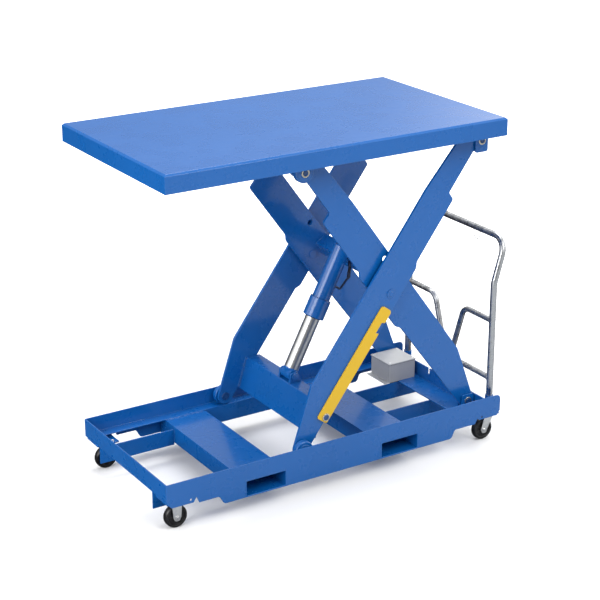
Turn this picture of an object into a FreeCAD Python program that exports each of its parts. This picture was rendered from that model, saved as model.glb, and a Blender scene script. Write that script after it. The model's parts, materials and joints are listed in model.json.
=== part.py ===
import FreeCAD, Part
import math
import os
import re

import Sketcher

# Scissor lift table on casters, drawn at its raised position.
# Frame: millimetres, +Z up, +X towards the push handle, -Y is the near side.
# Origin: on the floor, under the middle of the overall length and width.

VECTOR = FreeCAD.Vector
NEAR = -1
FAR = 1
SIDES = ((NEAR, "near"), (FAR, "far"))

DIMENSIONS = {
    # platform
    "deck_mid_x": -75,
    "deck_length": 1626,
    "deck_width": 914,
    "deck_depth": 78,
    "deck_wall": 6,
    "deck_chamfer": 8,
    "deck_above_pin": 120,
    "stiffener_depth": 18,
    "stiffener_thickness": 8,
    "stiffener_half_length": 270,
    "track_thickness": 6,
    "track_inner_y": 334,
    "track_outer_y": 374,
    "track_front_x": -875,
    "track_rear_x": -75,
    # scissor geometry
    "pivot_x": 697,
    "base_pin_z": 200,
    "leg_span": 1524,
    "lift_angle": 53.5,
    "leg_thickness": 12.7,
    "leg_end_r": 36,
    "outer_upper_v": 120,
    "outer_lower_v": 36,
    "inner_upper_v": 110,
    "inner_lower_v": 46,
    "leg_taper_u": 250,
    "leg_step_u": 1255,
    "leg_step_half": 6,
    "leg_step_v": 2,
    "leg_shoulder_u": 1215,
    "leg_tip_v": 94,
    "leg_tip_reach": 30,
    "leg_top_boss_r": 31,
    "leg_step_top_r": 14,
    "leg_step_foot_r": 9,
    "leg_bulge_r": 30,
    "leg_shoulder_r": 60,
    "leg_tip_high_r": 18,
    "leg_tip_low_r": 24,
    "outer_bulge_u": 610,
    "inner_bulge_u": 593,
    "bulge_end_u": 915,
    "bulge_depth": 15,
    "bulge_ramp": 22,
    "inner_leg_y": 289.3,
    "outer_leg_y": 317.3,
    # pins, rings and rollers
    "pivot_pin_r": 16,
    "roller_pin_r": 15,
    "bore_gap": 0.05,
    "pin_head_r": 19,
    "pin_ring_r": 18.5,
    "pin_tip_r": 11.5,
    "pin_tip_chamfer": 1,
    "pin_tip_reach": 2,
    "center_ring_r": 21,
    "center_collar_r": 27,
    "roller_collar_r": 20,
    "roller_r": 43,
    "roller_inner_y": 332,
    "roller_width": 30,
    "roller_hub_r": 27,
    "roller_web_r": 29,
    "roller_web_dip": 2,
    "roller_rim_edge": 3,
    "ring_thickness": 3,
    "side_gap": 0.3,
    # brackets
    "ear_thickness": 8,
    "base_ear_inner_y": 276,
    "base_ear_outer_y": 305,
    "deck_ear_inner_y": 306,
    "deck_ear_outer_y": 333,
    "ear_half_width": 33,
    "deck_ear_drop": 52,
    "base_ear_rise": 32,
    "lug_edge_inset": 6,
    "upper_lug_reach": 28,
    "upper_lug_corner_r": 16,
    "lower_lug_reach": 24,
    "lower_lug_rise": 26,
    "lower_lug_shoulder": 12,
    "lower_lug_corner_r": 9,
    # base frame
    "base_front_x": -885,
    "base_rear_x": 829,
    "base_half_width": 382.5,
    "rail_wall": 5,
    "rail_top_z": 227,
    "rail_bottom_z": 73,
    "rail_end_bottom_z": 119,
    "rail_corner_r": 22,
    "rail_deep_r": 20,
    "rail_dip_r": 14,
    "rail_shelf_drop": 7,
    "front_nose_x": 23,
    "front_nose_rise": 26,
    "front_bump_x": 138,
    "front_bump_rise": 22,
    "front_shelf_end_x": 246,
    "front_deep_x": 268,
    "rear_deep_x": 272,
    "rear_shelf_end_x": 256,
    "rear_bump_x": 128,
    "rear_bump_rise": 16,
    "rear_shelf_rise": 8,
    "rear_nose_x": 18,
    "rear_nose_rise": 32,
    "bump_half": 13,
    "rail_hole_r": 5,
    "ledge_z": 152,
    "ledge_inner_y": 322,
    "ledge_rear_gap": 52,
    "pad_front_reach": 60,
    "pad_back_reach": 45,
    "pad_rear_length": 66,
    "caster_pad_z": 130,
    "caster_pad_thickness": 6,
    "caster_pad_inner_y": 272,
    "pocket_front_x": -414,
    "pocket_rear_x": 271,
    "pocket_width": 203,
    "pocket_height": 79,
    "pocket_wall": 6,
    "end_plate_bottom_z": 147,
    "front_stringer_y": 247,
    "front_stringer_top_z": 139,
    "front_stringer_bottom_z": 64,
    "rear_stringer_y": 127,
    "stringer_thickness": 6,
    "stringer_tab_length": 40,
    "stringer_tab_overlap": 20,
    "channel_front_x": 619,
    "channel_rear_x": 741,
    "channel_thickness": 6,
    "notch_y": 40,
    "notch_depth": 27,
    "notch_r": 6,
    # cylinder
    "upper_eye_u": 894,
    "upper_eye_v": 79,
    "lower_eye_u": 245,
    "rod_r": 33.5,
    "barrel_r": 40,
    "barrel_bore_r": 36,
    "gland_r": 48,
    "gland_start": 272,
    "gland_length": 89,
    "gland_lip": 18,
    "rod_start": 22,
    "rod_end": 330,
    "rod_eye_r": 24,
    "rod_eye_width": 70,
    "cylinder_pin_r": 12.5,
    "barrel_eye_r": 27,
    "barrel_eye_width": 66,
    "barrel_cap_gap": 4,
    "barrel_cap_thickness": 14,
    "barrel_neck_half_x": 20,
    "barrel_neck_half_y": 25,
    "turned_edge": 2,
    "port_below_cap": 40,
    "port_stub_r": 9,
    "port_stub_length": 22,
    "port_elbow_r": 7,
    "port_elbow_length": 30,
    "port_elbow_out": 16,
    "lower_pin_head_r": 17,
    "upper_pin_head_r": 19,
    "pin_head_thickness": 4,
    "pin_clip_thickness": 3,
    "pin_play": 0.5,
    "upper_lug_y": 43,
    "lower_lug_y": 38,
    "lug_thickness": 10,
    # cross members
    "inner_tube_u": 700,
    "inner_tube_width": 90,
    "inner_tube_v": 45,
    "inner_tube_depth": 64,
    "tube_wall": 5,
    "tube_corner_r": 8,
    "cross_plate": 8,
    "cross_bottom_u": 64,
    "cross_bottom_v": -44,
    "cross_top_u": 205,
    "cross_top_v": 7,
    "cross_flange": 66,
    "cross_bend_r": 6,
    "cross_bend_ease": 2,
    # maintenance bar
    "prop_pivot_u": 168,
    "prop_pivot_v": -25,
    "prop_mid_v": -17.5,
    "prop_tail": 23,
    "prop_length": 533,
    "prop_width": 58,
    "prop_thickness": 8,
    "prop_bolt_r": 8,
    "prop_notch_width": 53,
    "prop_notch_depth": 16,
    "prop_notch_start": 118,
    "prop_washer_r": 18,
    "prop_bolt_head_r": 13,
    "prop_notch_slope": 6,
    "prop_corner_r": 11,
    "prop_tip_r": 14,
    "prop_standoff": 1,
    "prop_play": 0.5,
    # casters
    "wheel_r": 50.8,
    "wheel_width": 30,
    "wheel_tread_half": 5,
    "wheel_shoulder": 4,
    "wheel_crown": 1,
    "wheel_rim_r": 10,
    "wheel_web_r": 13,
    "hub_proud": 1,
    "hub_flare": 2,
    "caster_y": 325,
    "rigid_caster_x": -818,
    "swivel_caster_x": 797,
    "caster_trail": 25,
    "caster_plate_x": 62,
    "caster_plate_y": 92,
    "caster_plate_thickness": 4,
    "caster_plate_corner_r": 6,
    "caster_bolt_x": 20,
    "caster_bolt_y": 36,
    "caster_bolt_r": 4,
    "caster_nut_r": 6.5,
    "caster_nut_depth": 3.5,
    "caster_head_r": 7,
    "caster_head_height": 5,
    "bolt_play": 0.2,
    "bolt_hole_play": 0.3,
    "fork_gap": 36,
    "fork_plate": 3,
    "fork_leg_width": 36,
    "fork_crown_half": 24,
    "fork_foot_cut": 8,
    "fork_foot_r": 10,
    "axle_r": 5,
    "axle_head_r": 8,
    "axle_head_height": 5,
    "axle_nut_height": 6,
    "hub_r": 17,
    "race_r": 27,
    "race_depth": 12,
    "race_gap": 6,
    "race_hub_height": 5.7,
    # control box
    "box_front_x": 565,
    "box_rear_x": 713,
    "box_near_y": 120,
    "box_far_y": 268,
    "box_height": 90,
    "box_wall": 3,
    "box_lid": 6,
    "box_lid_overhang": 3,
    "box_flange": 26,
    "box_flange_thickness": 3,
    "box_screw_inset": 10,
    "box_screw_r": 2.5,
    "box_screw_length": 12,
    "box_screw_head_r": 5,
    "box_screw_top_r": 3.5,
    "box_screw_side": 1.5,
    "box_screw_head": 2.6,
    "box_screw_play": 0.1,
    # push handle
    "handle_x": 815,
    "handle_y": 318,
    "handle_tube_r": 15,
    "handle_tube_wall": 2.5,
    "handle_bottom_z": 137,
    "handle_kink_z": 745,
    "handle_lean": 58,
    "handle_top_z": 943,
    "handle_bend_r": 75,
    "handle_kink_r": 110,
    "loop_top_z": 567,
    "loop_corner_y": 112,
    "loop_foot_y": 19,
    "loop_bend_r": 55,
    "lower_bar_z": 288,
    "lower_bar_r": 13,
    "socket_r": 19,
    "socket_top_z": 205,
    "handle_bolt_r": 4,
    "handle_bolt_z": 178,
    "handle_bolt_head_r": 7,
    "handle_bolt_head": 5,
    "handle_nut": 6,
    "slip_fit": 0.1,
    "hook_y": -110,
    "hook_width": 44,
    "hook_drop": 38,
    "hook_wire_r": 2,
}

doc = FreeCAD.newDocument("ScissorLiftTable")
sheet = doc.addObject("Spreadsheet::Sheet", "Dims")
for row, (alias, number) in enumerate(DIMENSIONS.items(), start=1):
    sheet.set(f"A{row}", alias.replace("_", " "))
    sheet.set(f"B{row}", str(number))
    sheet.setAlias(f"B{row}", alias)
doc.recompute()

ALIAS_WORD = re.compile(r"\b[a-z_]+\b")
nodes = {}


def formula(text):
    """A formula in the sheet's aliases, written the way FreeCAD reads it."""
    return ALIAS_WORD.sub(lambda m: "Dims." + m[0] if m[0] in DIMENSIONS else m[0], str(text))


def bind(item, path, text):
    item.setExpression(path, formula(text))


def value(alias):
    return float(sheet.get(alias))


def node(name, item):
    """Marks an object as a sub-part that is written to its own file."""
    item.Label = name
    nodes[name] = item
    return item


def place(item, x=0, y=0, z=0, turn=None, axis=(0, 1, 0)):
    """Puts an object at x, y, z, turned about an axis by an angle in degrees."""
    if turn is not None:
        item.Placement = FreeCAD.Placement(VECTOR(), FreeCAD.Rotation(VECTOR(*axis), 1))
        bind(item, "Placement.Rotation.Angle", turn)
    for letter, where in zip("xyz", (x, y, z)):
        bind(item, f"Placement.Base.{letter}", where)
    return item


def point_along(item, side):
    """Turns a shape drawn along +Z so that it points outboard, to the near or the far side."""
    item.Placement = FreeCAD.Placement(VECTOR(), FreeCAD.Rotation(VECTOR(1, 0, 0), -90 * side))
    return item


# ---------------------------------------------------------------- drawing helpers


def sketch_in(body, name, role, outlines, circles=()):
    """A sketch on one of the body's own planes, every corner bound to the sheet."""
    plane = [f for f in body.Origin.OriginFeatures if f.Role == role][0]
    sketch = body.newObject("Sketcher::SketchObject", name)
    sketch.AttachmentSupport = [(plane, "")]
    sketch.MapMode = "FlatFace"
    for outline in outlines:
        first = sketch.GeometryCount
        count = len(outline)
        for index in range(count):
            here = 2 * math.pi * index / count
            there = 2 * math.pi * (index + 1) / count
            line = Part.LineSegment(
                VECTOR(math.cos(here), math.sin(here), 0), VECTOR(math.cos(there), math.sin(there), 0)
            )
            sketch.addGeometry(line, False)
        for index, corner in enumerate(outline):
            following = first + (index + 1) % count
            sketch.addConstraint(Sketcher.Constraint("Coincident", first + index, 2, following, 1))
            pin_point(sketch, first + index, 1, corner)
    for x, y, radius in circles:
        index = sketch.addGeometry(Part.Circle(VECTOR(), VECTOR(0, 0, 1), 1), False)
        pin_point(sketch, index, 3, (x, y))
        constraint = sketch.addConstraint(Sketcher.Constraint("Radius", index, 1.0))
        sketch.renameConstraint(constraint, f"radius_{index}")
        bind(sketch, f"Constraints.radius_{index}", radius)
    return sketch


def pin_point(sketch, geometry, vertex, corner):
    for kind, letter, text in (("DistanceX", "x", corner[0]), ("DistanceY", "y", corner[1])):
        constraint = sketch.addConstraint(Sketcher.Constraint(kind, -1, 1, geometry, vertex, 1.0))
        name = f"{letter}_{geometry}_{vertex}"
        sketch.renameConstraint(constraint, name)
        bind(sketch, f"Constraints.{name}", text)


def add_pad(body, sketch, depth, symmetric=True):
    pad = body.newObject("PartDesign::Pad", sketch.Name + "_pad")
    pad.Profile = sketch
    pad.Midplane = symmetric
    bind(pad, "Length", depth)
    sketch.Visibility = False
    doc.recompute()
    return pad


def round_corners(body, sketch, role, corners, radius):
    """Rounds the edges of the body that stand on the given corners of its outline."""
    names = []
    spots = []
    for index in corners:
        point = sketch.getPoint(index, 1)
        flat = {"XZ_Plane": (point.x, None, point.y), "XY_Plane": (point.x, point.y, None),
                "YZ_Plane": (None, point.x, point.y)}[role]
        spots.append(flat)
    for number, edge in enumerate(body.Tip.Shape.Edges, start=1):
        ends = [vertex.Point for vertex in edge.Vertexes]
        if len(ends) != 2:
            continue
        for spot in spots:
            if all(stands_on(end, spot) for end in ends):
                names.append(f"Edge{number}")
    fillet = body.newObject("PartDesign::Fillet", "Fillet")
    fillet.Base = (fillet.BaseFeature, names)
    bind(fillet, "Radius", radius)
    doc.recompute()
    return fillet


def stands_on(point, spot, tolerance=0.01):
    pairs = zip((point.x, point.y, point.z), spot)
    return all(want is None or abs(have - want) < tolerance for have, want in pairs)


def plate(name, role, outlines, depth, circles=(), rounds=()):
    """A flat plate, symmetric about its sketch plane, with rounded corners."""
    body = doc.addObject("PartDesign::Body", name)
    sketch = sketch_in(body, name + "_outline", role, outlines, circles)
    add_pad(body, sketch, depth)
    for corners, radius in rounds:
        round_corners(body, sketch, role, corners, radius)
    return body


def turned(name, profile):
    """A part turned about its own Z axis, from corners (radius, height)."""
    body = doc.addObject("PartDesign::Body", name)
    sketch = sketch_in(body, name + "_profile", "XZ_Plane", [profile])
    turn = body.newObject("PartDesign::Revolution", name + "_turn")
    turn.Profile = sketch
    turn.ReferenceAxis = (sketch, ["V_Axis"])
    turn.Angle = 360
    sketch.Visibility = False
    return body


def box(name, low, high):
    """A box between two corners."""
    item = doc.addObject("Part::Box", name)
    for path, start, end in zip(("Length", "Width", "Height"), low, high):
        bind(item, path, f"({end}) - ({start})")
    return place(item, *low)


def rod(name, radius, length, centre, axis):
    """A round bar that starts at centre and runs along axis, one of +x, +y, -y or +z."""
    item = doc.addObject("Part::Cylinder", name)
    bind(item, "Radius", radius)
    bind(item, "Height", length)
    turns = {"+z": (0, 0, 1, 0), "+x": (0, 1, 0, 90), "+y": (1, 0, 0, -90), "-y": (1, 0, 0, 90)}
    x, y, z, angle = turns[axis]
    item.Placement = FreeCAD.Placement(VECTOR(), FreeCAD.Rotation(VECTOR(x, y, z), angle))
    return place(item, *centre)


def fuse(name, items):
    item = doc.addObject("Part::MultiFuse", name)
    item.Shapes = items
    return item


def cut(name, base, tools):
    tool = tools[0] if len(tools) == 1 else fuse(name + "_tools", tools)
    item = doc.addObject("Part::Cut", name)
    item.Base = base
    item.Tool = tool
    return item


def group(name, items):
    item = doc.addObject("Part::Compound", name)
    item.Links = items
    return item


# ---------------------------------------------------------------- shared places

COS_LIFT = "cos(lift_angle * 1deg)"
SIN_LIFT = "sin(lift_angle * 1deg)"
ROLLER_X = f"(pivot_x - leg_span * {COS_LIFT})"
DECK_PIN_Z = f"(base_pin_z + leg_span * {SIN_LIFT})"
CENTRE_X = f"(pivot_x - leg_span / 2 * {COS_LIFT})"
CENTRE_Z = f"(base_pin_z + leg_span / 2 * {SIN_LIFT})"
DECK_TOP_Z = f"({DECK_PIN_Z} + deck_above_pin)"
DECK_UNDERSIDE_Z = f"({DECK_TOP_Z} - deck_wall)"
TRACK_Z = f"({DECK_PIN_Z} + roller_r)"
LOWER_EYE_X = f"({ROLLER_X} + lower_eye_u * {COS_LIFT})"
LOWER_EYE_Z = f"(base_pin_z + lower_eye_u * {SIN_LIFT})"
UPPER_EYE_X = f"(pivot_x - upper_eye_u * {COS_LIFT} + upper_eye_v * {SIN_LIFT})"
UPPER_EYE_Z = f"(base_pin_z + upper_eye_u * {SIN_LIFT} + upper_eye_v * {COS_LIFT})"
CYLINDER_TILT = f"90deg - atan2({UPPER_EYE_Z} - {LOWER_EYE_Z}; {UPPER_EYE_X} - {LOWER_EYE_X})"
CYLINDER_SPAN = f"sqrt(({UPPER_EYE_Z} - {LOWER_EYE_Z})^2 + ({UPPER_EYE_X} - {LOWER_EYE_X})^2)"
CHANNEL_TOP_Z = "(ledge_z + channel_thickness)"
PAD_TOP_Z = "(caster_pad_z + caster_pad_thickness)"


def on_outer_legs(item, y=0):
    """Places a shape drawn in the outer legs' frame: x along the leg, z square to it."""
    return place(item, ROLLER_X, y, "base_pin_z", "-lift_angle")


def on_inner_legs(item, y=0):
    """Places a shape drawn in the inner legs' frame, whose x runs backwards down the leg."""
    return place(item, "pivot_x", y, "base_pin_z", "lift_angle")


# ---------------------------------------------------------------- base frame


def wall_outline():
    """Side wall seen from the near side, anticlockwise from the front lower corner."""
    front = "base_front_x"
    rear = "base_rear_x"
    low = "rail_bottom_z"
    end = "rail_end_bottom_z"
    shelf = f"{end} - rail_shelf_drop"
    rear_shelf = f"{end} + rear_shelf_rise"
    pocket_top = "rail_bottom_z + pocket_height"
    points = [
        (front, f"{end} + front_nose_rise"),
        (f"{front} + front_nose_x", end),
        (f"{front} + front_bump_x - bump_half", end),
        (f"{front} + front_bump_x", f"{end} + front_bump_rise"),
        (f"{front} + front_bump_x + bump_half", shelf),
        (f"{front} + front_shelf_end_x", shelf),
        (f"{front} + front_deep_x", low),
    ]
    for middle in ("pocket_front_x", "pocket_rear_x"):
        points += [
            (f"{middle} - pocket_width / 2", low),
            (f"{middle} - pocket_width / 2", pocket_top),
            (f"{middle} + pocket_width / 2", pocket_top),
            (f"{middle} + pocket_width / 2", low),
        ]
    points += [
        (f"{rear} - rear_deep_x", low),
        (f"{rear} - rear_shelf_end_x", shelf),
        (f"{rear} - rear_bump_x - bump_half", shelf),
        (f"{rear} - rear_bump_x", f"{end} + rear_bump_rise"),
        (f"{rear} - rear_bump_x + bump_half", rear_shelf),
        (f"{rear} - rear_nose_x", rear_shelf),
        (rear, f"{end} + rear_nose_rise"),
        (rear, "rail_top_z"),
        (front, "rail_top_z"),
    ]
    return points


def side_rail(side, word):
    front_hole_x = "base_front_x + front_bump_x - 2 * bump_half"
    rear_hole_x = "base_rear_x - rear_bump_x + 2 * bump_half"
    wall = plate(
        f"wall_{word}", "XZ_Plane", [wall_outline()], "rail_wall",
        circles=[(front_hole_x, "rail_end_bottom_z + 3 * rail_hole_r", "rail_hole_r"),
                 (rear_hole_x, "rail_end_bottom_z + 4 * rail_hole_r", "rail_hole_r")],
        rounds=[((22,), "rail_corner_r"), ((5, 16), "rail_dip_r"),
                ((6, 15), "rail_deep_r"), ((23,), "rail_wall")],
    )
    place(wall, 0, f"{side} * (base_half_width - rail_wall / 2)", 0)
    inner = "base_half_width - rail_wall"

    def slab(name, x_low, x_high, y_low, y_high, z_low, z_high):
        near, far = (y_low, y_high) if side == FAR else (f"-({y_high})", f"-({y_low})")
        return box(f"{name}_{word}", (x_low, near, z_low), (x_high, far, z_high))

    pieces = [
        wall,
        slab("ledge", "base_front_x + rail_wall", "base_rear_x - ledge_rear_gap", "ledge_inner_y", inner,
             "ledge_z", "ledge_z + rail_wall"),
        slab("flange", "pocket_front_x + pocket_width / 2", "pocket_rear_x - pocket_width / 2",
             "ledge_inner_y", "ledge_inner_y + rail_wall", "rail_bottom_z", "ledge_z"),
    ]
    for label, middle in (("front", "rigid_caster_x"), ("rear", "swivel_caster_x")):
        low = "base_rear_x - pad_rear_length" if label == "rear" else f"{middle} - pad_front_reach"
        high = "base_rear_x" if label == "rear" else f"{middle} + pad_back_reach"
        pieces.append(slab(f"pad_{label}", low, high, "caster_pad_inner_y", inner,
                           "caster_pad_z", PAD_TOP_Z))
        pieces.append(slab(f"gusset_{label}", low, f"{low} + rail_wall", "ledge_inner_y", inner,
                           PAD_TOP_Z, "ledge_z"))
    frame = fuse(f"rail_frame_{word}", pieces)
    holes = [
        rod(f"pad_hole_{word}_{index}", "caster_bolt_r + bolt_hole_play", "40",
            (x, y, "caster_pad_z - 10"), "+z")
        for index, (x, y) in enumerate(caster_bolt_places(side))
    ]
    return node(f"side_rail_{word}", cut(f"side_rail_{word}", frame, holes))


def caster_bolt_places(side):
    return [
        (f"{middle} + {dx} * caster_bolt_x", f"{side} * caster_y + {dy} * caster_bolt_y")
        for middle in ("rigid_caster_x", "swivel_caster_x")
        for dx in (-1, 1)
        for dy in (-1, 1)
    ]


def fork_pocket(word, middle):
    half = "pocket_width / 2"
    low = "rail_bottom_z"
    high = "rail_bottom_z + pocket_height"
    outer = [(f"-{half}", low), (half, low), (half, high), (f"-{half}", high)]
    inner = [
        (f"-{half} + pocket_wall", f"{low} + pocket_wall"),
        (f"{half} - pocket_wall", f"{low} + pocket_wall"),
        (f"{half} - pocket_wall", f"{high} - pocket_wall"),
        (f"-{half} + pocket_wall", f"{high} - pocket_wall"),
    ]
    tube = plate(f"fork_pocket_{word}", "XZ_Plane", [outer, inner], "2 * base_half_width",
                 rounds=[((4, 5, 6, 7), "4")])
    return node(f"fork_pocket_{word}", place(tube, middle, 0, 0))


def front_end_plate():
    inner = "base_half_width - rail_wall"
    plain = box("end_plate", ("base_front_x", f"-({inner})", "end_plate_bottom_z"),
                ("base_front_x + rail_wall", inner, "rail_top_z"))
    return node("front_end_plate", plain)


def upright_bar(name, side, where, x_low, x_high, z_low, z_high):
    """A flat bar on edge that runs along the table on one side of the middle line."""
    middle = f"{side} * {where}"
    half = "stringer_thickness / 2"
    return box(name, (x_low, f"{middle} - {half}", z_low), (x_high, f"{middle} + {half}", z_high))


def stringers():
    front = []
    rear = []
    start = "base_front_x + rail_wall"
    for side, word in SIDES:
        bar = upright_bar(f"front_bar_{word}", side, "front_stringer_y",
                          start, "pocket_front_x - pocket_width / 2",
                          "front_stringer_bottom_z", "front_stringer_top_z")
        tab = upright_bar(f"front_tab_{word}", side, "front_stringer_y",
                          start, f"{start} + stringer_tab_length",
                          "front_stringer_top_z", "end_plate_bottom_z + stringer_tab_overlap")
        front.append(fuse(f"front_stringer_{word}", [bar, tab]))
        rear.append(upright_bar(f"rear_bar_{word}", side, "rear_stringer_y",
                                "pocket_rear_x + pocket_width / 2", "channel_rear_x",
                                "rail_bottom_z", "ledge_z"))
    node("front_stringers", group("front_stringers", front))
    node("rear_stringers", group("rear_stringers", rear))


def rear_cross_channel():
    """An angle across the base: a flat seat for the fixed pivots and an upright wall behind it."""
    inner = "base_half_width - rail_wall - 0.5"
    edge = "ledge_inner_y - 0.5"
    seat = box("channel_seat", ("channel_front_x", f"-({edge})", "ledge_z"),
               ("channel_rear_x", edge, CHANNEL_TOP_Z))
    wall = box("channel_wall", ("channel_rear_x - channel_thickness", f"-({inner})", CHANNEL_TOP_Z),
               ("channel_rear_x", inner, "rail_top_z - 1"))
    slot_bottom = "rail_top_z - notch_depth"
    slot = box("channel_notch", ("channel_rear_x - 20", "notch_y - notch_r", slot_bottom),
               ("channel_rear_x + 10", "notch_y + notch_r", "rail_top_z + 5"))
    slot_end = rod("channel_notch_end", "notch_r", "30",
                   ("channel_rear_x - 20", "notch_y", slot_bottom), "+x")
    angle = fuse("channel_angle", [seat, wall])
    return node("rear_cross_channel", cut("rear_cross_channel", angle, [slot, slot_end]))


def ear(name, low_z, high_z, rounded):
    """A pivot lug: a square plate with two rounded corners and a bore at its frame's origin."""
    half = "ear_half_width"
    outline = [(f"-{half}", low_z), (half, low_z), (half, high_z), (f"-{half}", high_z)]
    return plate(name, "XZ_Plane", [outline], "ear_thickness",
                 circles=[("0", "0", "pivot_pin_r + bore_gap")], rounds=[(rounded, "10")])


def pivot_brackets():
    base_ears = []
    deck_ears = []
    for side, word in SIDES:
        for start, label in (("base_ear_inner_y", "inboard"), ("base_ear_outer_y", "outboard")):
            lug = ear(f"base_ear_{word}_{label}", f"{CHANNEL_TOP_Z} - base_pin_z", "base_ear_rise", (2, 3))
            base_ears.append(place(lug, "pivot_x", f"{side} * ({start} + ear_thickness / 2)", "base_pin_z"))
        for start, label in (("deck_ear_inner_y", "inboard"), ("deck_ear_outer_y", "outboard")):
            lug = ear(f"deck_ear_{word}_{label}", "-deck_ear_drop", "deck_above_pin - deck_wall", (0, 1))
            deck_ears.append(place(lug, "pivot_x", f"{side} * ({start} + ear_thickness / 2)", DECK_PIN_Z))
    node("base_pivot_brackets", group("base_pivot_brackets", base_ears))
    node("platform_brackets", group("platform_brackets", deck_ears))


# ---------------------------------------------------------------- pins and rollers


def headed_pin(name, radius, start, end, ring_at, ring_end, ring_r, collar=None):
    """A pin along +Z: a head below start, a retaining ring, a turned-down tip, and an optional collar."""
    profile = [
        ("0", f"{start} - ring_thickness"),
        ("pin_head_r", f"{start} - ring_thickness"),
        ("pin_head_r", start),
        (radius, start),
    ]
    if collar:
        low, high, wide = collar
        profile += [(radius, low), (wide, low), (wide, high), (radius, high)]
    profile += [
        (radius, ring_at),
        (ring_r, ring_at),
        (ring_r, ring_end),
        ("pin_tip_r", ring_end),
        ("pin_tip_r", f"{end} - pin_tip_chamfer"),
        ("pin_tip_r - pin_tip_chamfer", end),
        ("0", end),
    ]
    return turned(name, profile)


def pin_pair(name, x, z, radius, start, face, ring_r="pin_ring_r", collar=None):
    """Two pins, near and far; each has its ring just outboard of the given face."""
    ring_at = f"{face} + side_gap"
    ring_end = f"{ring_at} + ring_thickness"
    pins = []
    for side, word in SIDES:
        pin = headed_pin(f"{name}_{word}", radius, start, f"{ring_end} + pin_tip_reach",
                         ring_at, ring_end, ring_r, collar)
        pins.append(place(point_along(pin, side), x, 0, z))
    return node(name, group(name, pins))


def pins():
    leg = "leg_thickness"
    gap = "side_gap"
    pin_pair("base_pivot_pins", "pivot_x", "base_pin_z", "pivot_pin_r",
             f"base_ear_inner_y - {gap}", "base_ear_outer_y + ear_thickness")
    pin_pair("platform_pins", "pivot_x", DECK_PIN_Z, "pivot_pin_r",
             f"deck_ear_inner_y - {gap}", "deck_ear_outer_y + ear_thickness")
    pin_pair("center_pins", CENTRE_X, CENTRE_Z, "pivot_pin_r",
             f"inner_leg_y - {gap}", f"outer_leg_y + {leg}", ring_r="center_ring_r",
             collar=(f"inner_leg_y + {leg} + {gap}", f"outer_leg_y - {gap}", "center_collar_r"))
    for name, z, leg_y in (
        ("lower_roller_pins", "base_pin_z", "outer_leg_y"),
        ("upper_roller_pins", DECK_PIN_Z, "inner_leg_y"),
    ):
        collar = (f"{leg_y} + {leg} + {gap}", f"roller_inner_y - {gap}", "roller_collar_r")
        pin_pair(name, ROLLER_X, z, "roller_pin_r", f"{leg_y} - {gap}",
                 "roller_inner_y + roller_width", collar=collar)


def rollers():
    rim = "roller_r"
    bore = "roller_pin_r + bore_gap"
    start = "roller_inner_y"
    end = "roller_inner_y + roller_width"
    for level, z in (("lower", "base_pin_z"), ("upper", DECK_PIN_Z)):
        for side, word in SIDES:
            name = f"{level}_roller_{word}"
            profile = [
                (bore, start),
                ("roller_hub_r", start),
                ("roller_web_r", f"{start} + roller_web_dip"),
                (f"{rim} - roller_rim_edge", f"{start} + roller_web_dip"),
                (rim, f"{start} + roller_web_dip + roller_rim_edge"),
                (rim, f"{end} - roller_web_dip - roller_rim_edge"),
                (f"{rim} - roller_rim_edge", f"{end} - roller_web_dip"),
                ("roller_web_r", f"{end} - roller_web_dip"),
                ("roller_hub_r", end),
                (bore, end),
            ]
            wheel = point_along(turned(name, profile), side)
            node(name, place(wheel, ROLLER_X, 0, z))


# ---------------------------------------------------------------- scissor legs

def leg_outline(kind, way):
    """One scissor leg along x, drawn forwards (way 1) or backwards (way -1)."""
    low = f"-{kind}_lower_v"
    high = f"{kind}_upper_v"
    bulge = f"{kind}_bulge_u"
    taper = f"(atan2({high}; leg_taper_u) - asin(leg_end_r / sqrt({high}^2 + leg_taper_u^2)))"
    points = [
        ("0", "-leg_end_r"),
        (f"{bulge} - bulge_ramp", low),
        (bulge, f"{low} - bulge_depth"),
        ("bulge_end_u", f"{low} - bulge_depth"),
        ("bulge_end_u + bulge_ramp", low),
        ("leg_step_u - leg_step_half", low),
        ("leg_step_u + leg_step_half", "leg_step_v"),
        ("leg_span - leg_top_boss_r", "leg_step_v"),
        ("leg_span", "-leg_top_boss_r"),
        ("leg_span + leg_tip_reach", "0"),
        ("leg_span + leg_tip_reach", "leg_tip_v"),
        ("leg_shoulder_u", high),
        ("leg_taper_u", high),
        (f"-leg_end_r * sin({taper})", f"leg_end_r * cos({taper})"),
    ]
    return [(f"{way} * ({u})", v) for u, v in points]


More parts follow.
